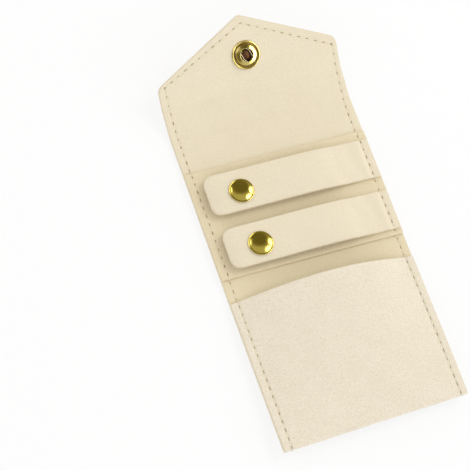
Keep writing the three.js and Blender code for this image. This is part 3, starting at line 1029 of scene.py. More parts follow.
@dataclass
class Strap:
    """A snap strap: two layers of cloth sewn into the right seam, round at the snap's end."""

    name: str
    y: float
    width: float
    book: Book
    tip: float = -30.9
    hinge: float = 31.6
    end: float = 35.7
    corner: float = 4.5
    end_ease: float = 0.5
    layer: float = 0.5
    edge: float = 0.16
    seat: float = 2.0
    level: float = 4.25
    ramp: float = 24.0
    ramp_steps: int = 60
    bend: float = 1.5
    snap_x: float = -18.2
    snap_sag: float = 1.0
    pressed: float = 0.45
    press_from: float = 0.6
    press_run: float = 1.6

    @property
    def snap_y(self) -> float:
        """Gives the place of its snap along the book."""
        return self.y - self.snap_sag

    @property
    def low(self) -> float:
        """Gives the place of its lower edge along the book."""
        return self.y - self.width / 2

    @property
    def high(self) -> float:
        """Gives the place of its upper edge along the book."""
        return self.y + self.width / 2

    @property
    def sewn_top(self) -> float:
        """Gives the height of its sewn end's face above the table."""
        return self.seat + 2 * self.layer * (1 - self.pressed)

    def climb(self, x: Array) -> Array:
        """Follows the S-shaped ramp from the sewn end up to the snap.

        Args:
            x: Places along the strap.

        Returns:
            How far it has climbed there from its seat to its level, 0 to 1.
        """
        t = np.linspace(0.0, 1.0, self.ramp_steps)
        half_way = 3 * t * (1 - t) ** 2 + 3 * t * t * (1 - t)
        along = self.hinge - self.ramp * (0.5 * half_way + t ** 3)
        return np.interp(-x, -along, 3 * t * t * (1 - t) + t ** 3)

    def build(self, finishes: Finishes) -> None:
        """Makes both layers.

        Args:
            finishes: The book's materials.
        """
        corners = [
            (self.tip, self.low, self.corner), (self.end, self.low, self.end_ease),
            (self.end, self.high, self.end_ease), (self.tip, self.high, self.corner),
        ]
        below = "holder_cloth"
        for part, rise, snap_radius, seams, stands_for in (
            ("under", 0.0, Snap.socket_radius, (), ("under",)),
            ("face", self.layer, Snap.cap_radius, [self.book.side_seam(Half.RIGHT)], ("face", "end")),
        ):
            cut = ClothCut(corners, self.layer, seams, edge=self.edge)
            lie = StrapLie(self, rise, Pucker(self.snap_x, self.snap_y, snap_radius))
            nodes = [f"{self.name}_strap_{node}" for node in stands_for]
            name = f"{self.name}_strap_{part}_cloth"
            piece = cut.dress(name, lie, finishes.strap, nodes, "strap_cloth", "stretched", [below])
            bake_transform(piece)
            below = piece.name


@dataclass(frozen=True)
class StrapLie:
    """A strap layer, level over its snap, drooping at its tip and edges, and pressed at its sewn end."""

    strap: Strap
    rise: float
    pucker: Pucker
    droop_from: float = -25.5
    droop_run: float = 5.4
    tip_droop: float = 0.8
    edge_droop: float = 0.6
    bow: float = 0.12
    bow_from: float = -8.0
    bow_run: float = 9.0
    wrinkle: float = 0.07
    wrinkle_from: float = 14.0
    wrinkle_run: float = 8.0
    wrinkle_end: float = 4.0
    wrinkle_turn: float = 0.85
    wrinkle_slant: float = 0.12
    wrinkle_sway: Span = (0.6, 0.4)

    def wrinkles(self, x: Array, s: Array) -> Array:
        """Makes the small wrinkles where the strap climbs.

        Args:
            x: Places along the strap.
            s: Places across it, along the book.

        Returns:
            Their height there.
        """
        strap = self.strap
        near = np.clip((x - self.wrinkle_from) / self.wrinkle_run, 0.0, 1.0)
        near = near * np.clip((strap.hinge - x) / self.wrinkle_end, 0.0, 1.0)
        sway, sway_turn = self.wrinkle_sway
        slant = self.wrinkle_slant * (s - strap.y) + sway * np.sin(sway_turn * s)
        return self.wrinkle * near * np.sin(self.wrinkle_turn * x + slant)

    def place(self, x: Array, s: Array, h: Array, groove: Array) -> Array:
        """Lays points of the strap, as Lie says."""
        strap = self.strap
        share = strap.climb(x)
        bow = self.bow * np.sin((x - self.bow_from) / self.bow_run) * share
        edge = self.edge_droop * np.abs((s - strap.y) / (strap.width / 2)) ** 3 * share
        tip = self.tip_droop * np.clip((self.droop_from - x) / self.droop_run, 0.0, 1.0) ** 2
        press = 1 - strap.pressed * np.clip((x - strap.hinge + strap.press_from) / strap.press_run, 0.0, 1.0)
        z = strap.seat + (strap.level - strap.seat) * share + bow + self.wrinkles(x, s) - edge - tip
        z = z + press * (self.rise + h) - strap.book.groove_depth * groove * h / strap.layer
        z = z + self.pucker.height(x, s) * (h / strap.layer - (0 if self.rise else 1))
        return np.stack([x, s, z], -1)


@dataclass
class Pocket:
    """The pocket panel on the front: crowned at the mouth, sewn flat at both sides, turned under as a hem."""

    book: Book
    mouth: float = 0.35
    mouth_bow: float = 1.1
    bow_points: Sequence[float] = (24.0, 12.0, 0.0, -12.0, -24.0)
    gap: float = 0.06
    thick: float = 0.64
    edge: float = 0.22
    ease: float = 0.6
    spacing: float = 0.55
    bulge: float = 4.8
    crown: float = 5.0
    crown_power: float = 1.15
    fall_power: float = 1.5
    flat_margin: float = 0.5
    hem: float = 0.95
    flattened: float = 0.68

    @property
    def face(self) -> float:
        """Gives the height of its showing face above the panel at the seams."""
        return self.gap + self.thick

    @property
    def hem_radius(self) -> float:
        """Gives the radius at the middle of the cloth where the hem turns under."""
        return self.hem - self.thick / 2

    def turn_at(self, x: Array) -> Array:
        """Gives how far down the panel the hem begins to turn, at places across."""
        share = (x + self.book.half) / self.book.width
        return self.book.front_left + (self.book.front_right - self.book.front_left) * share - self.hem

    def across(self, x: Array) -> Array:
        """Shapes the crown across the pocket.

        Args:
            x: Places across the book.

        Returns:
            The share of the crown's height there: none at the seams.
        """
        seam = self.book.half - self.book.seam_inset - self.flat_margin
        side = np.where(x < self.crown, -seam, seam)
        share = np.clip((x - self.crown) / (side - self.crown), 0.0, 1.0)
        return (1 - share ** 2) ** self.crown_power

    def place(self, x: Array, s: Array, h: Array, groove: Array) -> Array:
        """Lays points of the pocket, as Lie says. Its s runs down from 0 at the mouth."""
        turn_at = self.turn_at(x)
        along = self.mouth - s
        share = np.clip((along - self.mouth) / (turn_at - self.mouth), 0.0, 1.0)
        height = self.gap + self.bulge * self.across(x) * (1 - share ** self.fall_power)
        height = height + h - self.book.groove_depth * groove * h / self.thick
        angle = np.clip((along - turn_at) / self.hem_radius, 0.0, math.pi)
        centre = self.face - self.hem
        radius = self.hem - self.thick + h
        turned = angle > 0
        down = np.where(turned, turn_at + radius * np.sin(angle), along)
        level = np.where(turned, centre + radius * np.cos(angle), height)
        return self.book.place(x, self.book.front_start - down, level)

    def build(self, finishes: Finishes) -> None:
        """Makes the pocket's cloth on the front panel.

        Args:
            finishes: The book's materials.
        """
        book, half = self.book, self.book.half
        left, right = (
            float(self.mouth - self.turn_at(np.float64(side.value * half)) - math.pi * self.hem_radius)
            for side in Half
        )
        bowed = [(x, self.mouth_bow * (1 - (x / half) ** 2), 0.0) for x in self.bow_points]
        corners = [
            (-half, left, self.ease), (half, right, self.ease), (half, 0.0, self.ease), *bowed,
            (-half, 0.0, self.ease),
        ]
        seams = [seam - (0.0, book.front_start - self.mouth) for seam in book.side_seams()]
        cut = ClothCut(corners, self.thick, seams, edge=self.edge, spacing=self.spacing)
        piece = cut.dress(
            "pocket_cloth", self, finishes.outer, ["pocket_panel"], "outer_cloth", "stretched",
            ["front_lining_cloth"],
        )
        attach(piece, "front")
        middle = np.array(book.front_start - book.front_right / 2)
        anchor, axis = Vector(book.place(0.0, middle, 0.0) * MM), Vector(book.up(middle))
        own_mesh(piece)


class StitchTree:
    """The node tree that sews a row: threads along a path, with a dark lens at each end of a stitch as painted
    shade for its needle hole.
    """

    SIZES = ("Pitch", "Stitch", "Thread", "Rise", "Hole", "Hole Width")
    DIP = -0.9  # height of a thread's ends, in thread radii
    LENS = 0.5  # height of a needle hole, in its widths

    def __init__(self, finishes: Finishes) -> None:
        """Builds the tree once for every row.

        Args:
            finishes: The book's materials.
        """
        self.tree = bpy.data.node_groups.new("sewn_row", "GeometryNodeTree")
        face = self.tree.interface
        face.new_socket("Path", in_out="INPUT", socket_type="NodeSocketGeometry")
        for name in self.SIZES:
            face.new_socket(name, in_out="INPUT", socket_type="NodeSocketFloat")
        face.new_socket("Seed", in_out="INPUT", socket_type="NodeSocketInt")
        face.new_socket("Row", in_out="OUTPUT", socket_type="NodeSocketGeometry")
        self.nodes = Nodes(self.tree)
        self.given = self.nodes.add("NodeGroupInput").outputs
        rows = [
            self.sewn(self.thread(), finishes.thread, inset=0.5, vary=0.06),
            self.sewn(self.hole(), finishes.hole, inset=0.0, vary=0.2),
        ]
        joined = self.nodes.add("GeometryNodeJoinGeometry")
        for row in rows:
            self.tree.links.new(row, joined.inputs[0])
        self.nodes.add("NodeGroupOutput", {0: joined.outputs[0]})

    def vector(self, x: Any = 0.0, y: Any = 0.0, z: Any = 0.0) -> Socket:
        """Joins three numbers or sockets into a vector."""
        return self.nodes.add("ShaderNodeCombineXYZ", {0: x, 1: y, 2: z}).outputs[0]

    def thread(self) -> Socket:
        """Makes one stitch: a bowed thread whose ends dip into the cloth.

        Returns:
            The stitch's mesh socket.
        """
        add, sums = self.nodes.add, self.nodes.math
        reach = sums("MULTIPLY", self.given["Stitch"], 0.5)
        back = sums("MULTIPLY", reach, -1.0)
        dip = sums("MULTIPLY", self.given["Thread"], self.DIP)
        bow = add("GeometryNodeCurveQuadraticBezier", {
            "Resolution": 6,
            "Start": self.vector(back, 0.0, dip),
            "Middle": self.vector(0.0, 0.0, sums("MULTIPLY", self.given["Rise"], 2.0)),
            "End": self.vector(reach, 0.0, dip),
        })
        ring = add("GeometryNodeCurvePrimitiveCircle", {"Resolution": 6, "Radius": self.given["Thread"]})
        inputs = {"Curve": bow.outputs[0], "Profile Curve": ring.outputs[0], "Fill Caps": True}
        return add("GeometryNodeCurveToMesh", inputs).outputs[0]

    def hole(self) -> Socket:
        """Makes one needle hole: a low dark lens at the end of a stitch, painted shade for the hole.

        Returns:
            The hole's mesh socket.
        """
        ball = self.nodes.add("GeometryNodeMeshUVSphere", {"Segments": 8, "Rings": 5, "Radius": 1.0})
        wide = self.given["Hole Width"]
        scale = self.vector(self.given["Hole"], wide, self.nodes.math("MULTIPLY", wide, self.LENS))
        lens = self.nodes.add("GeometryNodeTransform", {"Geometry": ball.outputs[0], "Scale": scale})
        return lens.outputs[0]

    def sewn(self, shape: Socket, material: Material, inset: float, vary: float) -> Socket:
        """Repeats a shape along the path.

        Args:
            shape: What is repeated.
            material: Its finish.
            inset: How far from the path's ends the first and last one are, in pitches.
            vary: How much each one's size may vary.

        Returns:
            The row's mesh socket.
        """
        add, sums = self.nodes.add, self.nodes.math
        curve = add("GeometryNodeMeshToCurve", {"Mesh": self.given["Path"]}).outputs[0]
        length = add("GeometryNodeSplineLength").outputs["Length"]
        ends = sums("MULTIPLY", self.given["Pitch"], inset)
        stop = sums("SUBTRACT", length, ends)
        trim = add("GeometryNodeTrimCurve", {0: curve, 4: ends, 5: stop}, mode="LENGTH")
        count = sums("ADD", sums("ROUND", sums("DIVIDE", length, self.given["Pitch"])), 1.0)
        even = add("GeometryNodeResampleCurve", {"Curve": trim.outputs[0], "Count": count}, mode="COUNT")
        up = add("GeometryNodeInputNamedAttribute", {"Name": "up"}, data_type="FLOAT_VECTOR").outputs[0]
        axes = {"Primary Axis": add("GeometryNodeInputTangent").outputs[0], "Secondary Axis": up}
        turned = add("FunctionNodeAxesToRotation", axes, primary_axis="X", secondary_axis="Z").outputs[0]
        size = add("FunctionNodeRandomValue", {2: 1.0 - vary, 3: 1.0 + vary, "Seed": self.given["Seed"]})
        placed = add("GeometryNodeInstanceOnPoints", {
            "Points": even.outputs[0], "Instance": shape, "Rotation": turned, "Scale": size.outputs[1],
        })
        real = add("GeometryNodeRealizeInstances", {0: placed.outputs[0]})
        smooth = add("GeometryNodeSetShadeSmooth", {0: real.outputs[0]}).outputs[0]
        return add("GeometryNodeSetMaterial", {"Geometry": smooth, "Material": material}).outputs[0]


@dataclass
class Stitching:
    """The rows of stitches round the book, on both faces, split where the panels are."""

    book: Book
    holder: Holder
    pocket: Pocket
    straps: Sequence[Strap]
    stitch: float = 2.4
    thread: float = 0.17
    rise: float = 0.06
    seed: int = 7
    step: float = 0.4
    ramp: float = 0.5
    overrun: float = 5.0
    sunk: float = 0.8

    def level(self, half: Half, s: Array) -> Array:
        """Gives the height of the showing face along a side seam.

        Args:
            half: Which side seam.
            s: Places along the panels.

        Returns:
            Heights above the panels' inner face.
        """
        book, holder, pocket = self.book, self.holder, self.pocket
        spans = [
            (holder.low, holder.high, holder.face),
            (book.bottom(half) - self.overrun, book.front_start - pocket.mouth, pocket.face),
        ]
        if half is Half.RIGHT:
            spans += [(strap.low, strap.high, strap.sewn_top - book.sheet) for strap in self.straps]
        height = np.zeros_like(s)
        for low, high, top in spans:
            inner = np.clip(np.minimum(s - low, high - s) / self.ramp + 0.5, 0.0, 1.0)
            height = np.maximum(height, top * inner)
        return height

    def rows(self, low: float, high: float) -> list[Array]:
        """Gives the rows between two places along the panels, in flat millimetres.

        Args:
            low: Lower end of the stretch.
            high: Upper end of the stretch.

        Returns:
            One chain of points for each row.
        """
        found = []
        for seam in self.book.side_seams():
            start, end = max(low, seam[0, 1]), min(high, seam[-1, 1])
            s = np.linspace(start, end, max(2, int((end - start) / self.step)))
            found.append(np.column_stack([np.interp(s, seam[:, 1], seam[:, 0]), s]))
        if high > self.book.flap_start:
            found += [resampled(seam, self.step) for seam in self.book.slope_seams()]
        return found

    def path(self, name: str, low: float, high: float) -> Piece:
        """Makes the edges that the stitches of one stretch follow, on both faces.

        Args:
            name: The piece's name.
            low: Lower end of the stretch.
            high: Upper end of the stretch.

        Returns:
            An object of bare edges with the direction up stored on its points.
        """
        book = self.book
        points, ups, edges, first = [], [], [], 0
        for row in self.rows(low, high):
            x, s = row.T
            half = Half.LEFT if x[0] < 0 else Half.RIGHT
            for face in Face:
                surface = self.level(half, s) if face is Face.INSIDE else np.full(len(row), -book.sheet)
                points.append(book.place(x, s, surface - face.value * book.groove_depth * self.sunk) * MM)
                ups.append(face.value * book.up(s))
                edges += [(first + i, first + i + 1) for i in range(len(row) - 1)]
                first += len(row)
        mesh = bpy.data.meshes.new(name)
        mesh.from_pydata(np.vstack(points), edges, [])
        mesh.attributes.new("up", "FLOAT_VECTOR", "POINT").data.foreach_set("vector", np.vstack(ups).ravel())
        return linked(name, mesh)

    def build(self, panels: Sequence[Panel], finishes: Finishes) -> None:
        """Sews each stretch of the panels.

        Args:
            panels: The stretches.
            finishes: The book's materials.
        """
        sewn = StitchTree(finishes)
        for number, panel in enumerate(panels):
            name = f"{panel.name}_stitches"
            sizes = (panel.pitch, self.stitch, self.thread, self.rise, *panel.hole)
            given = {key: size * MM for key, size in zip(StitchTree.SIZES, sizes)}
            given["Seed"] = self.seed + number
            path = self.path(f"{name}_path", panel.low, panel.high)
            modifier = path.modifiers.new("sewn", "NODES")
            modifier.node_group = sewn.tree
            for item in sewn.tree.interface.items_tree:
                if item.in_out == "INPUT" and item.name in given:
                    modifier[item.identifier] = given[item.name]
            graph = bpy.context.evaluated_depsgraph_get()
            mesh = bpy.data.meshes.new_from_object(path.evaluated_get(graph))
            mesh.name = name
            mesh.materials.pop(index=list(mesh.materials).index(None))
            bpy.data.objects.remove(path)
            piece = linked(name, mesh)
            start, end = self.book.bend_points(panel.crease)
            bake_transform(piece)
            LOG.info("%s: %d faces", piece.name, len(mesh.polygons))


def turned_mesh(name: str, profile: Profile, closed: bool, segments: int, material: Material) -> Mesh:
    """Turns a profile round the Z axis.

    Args:
        name: The mesh's name.
        profile: Radius and height of each point, counter-clockwise as seen with Z up.
        closed: Whether the profile is a ring that never meets the axis.
        segments: Facets round the axis.
        material: Its finish.

    Returns:
        The closed mesh, in millimetres.
    """
    angles = np.arange(segments) * 2 * math.pi / segments
    points, rings = [], []
    for radius, height in profile:
        if radius < TOUCHING:
            rings.append([len(points)] * segments)
            points.append((0.0, 0.0, height))
        else:
            rings.append(list(range(len(points), len(points) + segments)))
            points += [(radius * math.cos(a), radius * math.sin(a), height) for a in angles]
    faces = []
    for low, high in zip(rings, rings[1:] + (rings[:1] if closed else [])):
        for i in range(segments):
            j = (i + 1) % segments
            corners = list(dict.fromkeys((low[i], low[j], high[j], high[i])))
            if len(corners) > 2:
                faces.append(corners)
    return new_mesh(name, points, faces, material)


def tube_mesh(
    name: str, path: Array, radius: float, material: Material, sides: int = 10, bulge: float = 0.6,
) -> Mesh:
    """Makes a round wire along a path that lies level, with low pointed ends.

    Args:
        name: The mesh's name.
        path: Points of its centre line.
        radius: The wire's radius.
        material: Its finish.
        sides: Facets round the wire.
        bulge: How far its ends stand out, in radii.

    Returns:
        The closed mesh, in millimetres.
    """
    along = unit(np.gradient(path, axis=0))
    side = np.stack([-along[:, 1], along[:, 0], np.zeros(len(along))], -1)
    angles = np.arange(sides) * 2 * math.pi / sides
    points = [
        centre + radius * (math.cos(a) * across + math.sin(a) * UP)
        for centre, across in zip(path, side)
        for a in angles
    ]
    last, pole = (len(path) - 1) * sides, len(points)
    points += [path[0] - bulge * radius * along[0], path[-1] + bulge * radius * along[-1]]
    round_wire = [(i, (i + 1) % sides) for i in range(sides)]
    faces = [
        (k + i, k + j, k + sides + j, k + sides + i)
        for k in range(0, last, sides)
        for i, j in round_wire
    ]
    faces += [(j, i, pole) for i, j in round_wire]
    faces += [(last + i, last + j, pole + 1) for i, j in round_wire]
    return new_mesh(name, points, faces, material)


@dataclass
class Snap:
    """A brass snap fastener: a domed cap and its sprung socket on one cloth, and a stud on another."""

    name: str
    cap_frame: Matrix
    socket_frame: Matrix
    stud_frame: Matrix
    cap_body: str
    stud_body: str
    wire_turn: float = 0.0
    cap_radius: float = 4.7
    cap_height: float = 1.25
    rim_width: float = 0.36
    dome_foot: float = 0.33
    dome_power: float = 2.2
    dome_steps: int = 14
    socket_radius: float = 5.45
    socket_plate: float = 0.3
    bore: float = 2.5
    stud_radius: float = 3.7
    grip: float = 1.0
    flare_clear: float = 0.07
    wire: float = 0.18
    wire_spread: float = 1.75
    wire_level: float = 1.15
    wire_reach: float = 2.8
    browned_and_shaded: float = 0.95
    # dulled: the groove's darkening, partly patina and partly painted shade.
    dulled: float = 0.55
    facets: int = 72
    stud_facets: int = 48

    def cap_profile(self) -> Profile:
        """Draws the cap's half section.

        Returns:
            Its flared post, flat underside, rolled rim and dome.
        """
        r, h, foot = self.cap_radius, self.cap_height, self.dome_foot
        flare = -(SNAP_GAP + self.grip + SNAP_GAP + self.socket_plate + self.flare_clear)
        edge = r - self.rim_width
        shares = np.linspace(1.0, 0.0, self.dome_steps)
        dome = [(edge * t, foot + (h - foot) * (1 - t ** self.dome_power)) for t in shares]
        rim = smooth_line([
            (r - 0.32, 0.0), (r - 0.06, 0.1), (r, 0.24), (r - 0.08, 0.38), (r - 0.24, 0.4), dome[0],
        ])
        return [
            (0.0, flare - 0.15), (1.8, flare - 0.15), (1.9, flare - 0.08), (1.8, flare), (1.25, flare - 0.02),
            (1.2, -0.05), (1.25, 0.0), *rim[:-1], *dome[:-1], (0.0, h),
        ]

    def socket_profile(self) -> Profile:
        """Draws the socket's half section.

        Returns:
            Its rolled rim, dished groove, raised collar and hollow back.
        """
        r, bore, plate = self.socket_radius, self.bore, self.socket_plate
        front = smooth_line([
            (r - 0.3, 0.02), (r - 0.05, 0.12), (r, 0.3), (r - 0.1, 0.5), (r - 0.3, 0.58), (r - 0.54, 0.48),
            (r - 0.8, 0.22), (r - 1.0, 0.2), (r - 1.17, 0.4), (bore + 1.5, 0.74), (bore + 1.38, 0.98),
            (bore + 1.15, 1.12), (bore + 0.75, 1.32), (bore + 0.35, 1.52), (bore + 0.15, 1.61),
            (bore + 0.03, 1.59), (bore, 1.5), (bore + 0.02, 1.38),
        ])
        return [
            (1.4, 0.0), *front, (bore + 0.5, 1.35), (bore + 0.75, 1.1), (bore + 1.0, 0.7),
            (bore + 1.0, 0.32), (1.4, plate),
        ]

    def stud_profile(self) -> Profile:
        """Draws the stud's half section.

        Returns:
            Its flange, neck and rounded head.
        """
        head = smooth_line([(1.1, 0.85), (1.15, 1.05), (1.36, 1.25), (1.38, 1.4), (1.2, 1.54), (0.7, 1.6)])
        r = self.stud_radius
        foot = smooth_line([
            (r - 0.15, 0.0), (r, 0.1), (r - 0.1, 0.22), (r - 0.4, 0.25),
            (1.5, 0.27), (1.14, 0.42), (1.1, 0.85),
        ])
        return [(0.0, 0.0), *foot[:-1], *head, (0.0, 1.61)]

    def wire_path(self, turn: float) -> Array:
        """Draws one leg of the S-shaped spring, straight past the bore and hooked in at its far end.

        Args:
            turn: Its angle round the socket's axis.

        Returns:
            Points of its centre line.
        """
        spread, reach = self.wire_spread, self.wire_reach
        straight = math.sqrt(reach ** 2 - spread ** 2) * 0.9
        flat = np.array(smooth_line([
            (spread, -straight), (spread, 0.0), (spread * 0.97, straight * 0.6), (spread * 0.4, reach * 0.96),
        ], 8))
        c, s = math.cos(turn), math.sin(turn)
        flat = flat @ np.array([[c, s], [-s, c]])
        return np.column_stack([flat, np.full(len(flat), self.wire_level)])

    def patina_and_shade(self, part: Part, points: Array) -> Array:
        """Gives how dark and brown a part is, partly patina and partly painted shade: the cap on its hidden
        side, the socket in its bore and groove.

        Args:
            part: Which part.
            points: Its points in millimetres, on its own axis.

        Returns:
            Shares from 0 to 1.
        """
        radius, height = np.hypot(points[:, 0], points[:, 1]), points[:, 2]
        if part is Part.CAP:
            return self.browned_and_shaded * (height < -0.02)
        if part is not Part.SOCKET:
            return np.zeros(len(points))
        # The bore and groove darkening is partly patina and partly painted shade.
        foot = self.bore + 1.3
        bore = (radius < self.bore + 0.05) & (height < 1.42) | (height < 0.35) & (radius < foot)
        groove = (radius > foot) & (radius < self.socket_radius - 0.6) & (height > 0.1) & (height < 0.8)
        return np.where(bore, self.browned_and_shaded, np.where(groove, self.dulled, 0.0))

    def dress(self, part: Part, mesh: Mesh, place: Matrix, body: str) -> None:
        """Puts one brass part in its place on its body.

        Args:
            part: Which part.
            mesh: Its mesh in millimetres, on its own axis.
            place: Where it goes, in millimetres.
            body: The body it rides on.
        """
        give_attribute(mesh, "patina_and_shade", self.patina_and_shade(part, np.array([v.co for v in mesh.vertices])))
        mesh.transform(Matrix.Scale(MM, 4) @ place)
        piece = linked(f"{self.name}_snap_{part.value}", mesh)
        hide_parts(f"{self.name}_{part.value}")
        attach(piece, body)
        LOG.info("%s: %d faces", piece.name, len(mesh.polygons))

    def build(self, finishes: Finishes) -> None:
        """Makes the cap, socket, stud and springs.

        Args:
            finishes: The book's materials.
        """
        cap = turned_mesh("cap", self.cap_profile(), False, self.facets, finishes.brass)
        socket = turned_mesh("socket", self.socket_profile(), True, self.facets, finishes.pale_brass)
        stud = turned_mesh("stud", self.stud_profile(), False, self.stud_facets, finishes.brass)
        self.dress(Part.CAP, cap, self.cap_frame, self.cap_body)
        self.dress(Part.SOCKET, socket, self.socket_frame, self.cap_body)
        self.dress(Part.STUD, stud, self.stud_frame, self.stud_body)
        for part, turn in ((Part.SPRING_A, 0.0), (Part.SPRING_B, math.pi)):
            leg = tube_mesh("wire", self.wire_path(self.wire_turn + turn), self.wire, finishes.wire)
            self.dress(part, leg, self.socket_frame, self.cap_body)


def frame_at(origin: Array, up: Array) -> Matrix:
    """Gives the place of a snap part: its axis along up and its X across the book."""
    columns = np.column_stack([ACROSS, np.cross(up, ACROSS), up, origin])
    return Matrix([*columns.tolist(), (0.0, 0.0, 0.0, 1.0)])


def snaps(book: Book, straps: Sequence[Strap], holder: Holder) -> list[Snap]:
    """Places the three snaps.

    Args:
        book: The shared sizes.
        straps: The two straps.
        holder: The panel that carries the straps' studs.

    Returns:
        The closure's snap and one for each strap.
    """
    on_flap, on_front = np.array(book.on_flap), np.array(book.on_front)
    level = Book(ripple=0.0)
    inner, outer = SNAP_GAP, -book.sheet - SNAP_GAP
    made = [Snap(
        "closure",
        frame_at(level.place(0.0, on_flap, outer), -book.up(on_flap)),
        frame_at(level.place(0.0, on_flap, inner), book.up(on_flap)),
        frame_at(level.place(0.0, on_front, outer), -book.up(on_front)),
        "flap", "front", wire_turn=math.radians(20.0), grip=book.sheet,
    )]
    for strap in straps:
        at = np.array((strap.snap_x, strap.snap_y, 0.0))
        top, under = strap.level + 2 * strap.layer + SNAP_GAP, strap.level - SNAP_GAP
        seat = book.sheet + holder.face + SNAP_GAP
        made.append(Snap(
            strap.name,
            frame_at(at + top * UP, UP),
            frame_at(at + under * UP, -UP),
            frame_at(at + seat * UP, UP),
            f"{strap.name}_strap", "back",
        ))
    return made


@dataclass(frozen=True)
class Lamp:
    """A soft round light, which the metal doesn't mirror."""

    name: str
    place: Place
    power: float
    size: float = 0.6

    def hang(self, target: Place) -> None:
        """Hangs the lamp.

        Args:
            target: The place it faces.
        """
        data = bpy.data.lights.new(self.name, "AREA")
        data.shape, data.size, data.energy = "DISK", self.size, self.power
        lamp = linked(self.name, data)
        lamp.visible_glossy = False
        lamp.location = self.place
        lamp.rotation_euler = (Vector(target) - Vector(self.place)).to_track_quat("-Z", "Y").to_euler()


@dataclass(frozen=True)
class Window:
    """A round patch of the world, brighter or darker than the rest, that only the metal mirrors."""

    towards: Place
    start: float
    soft: float
    strength: float


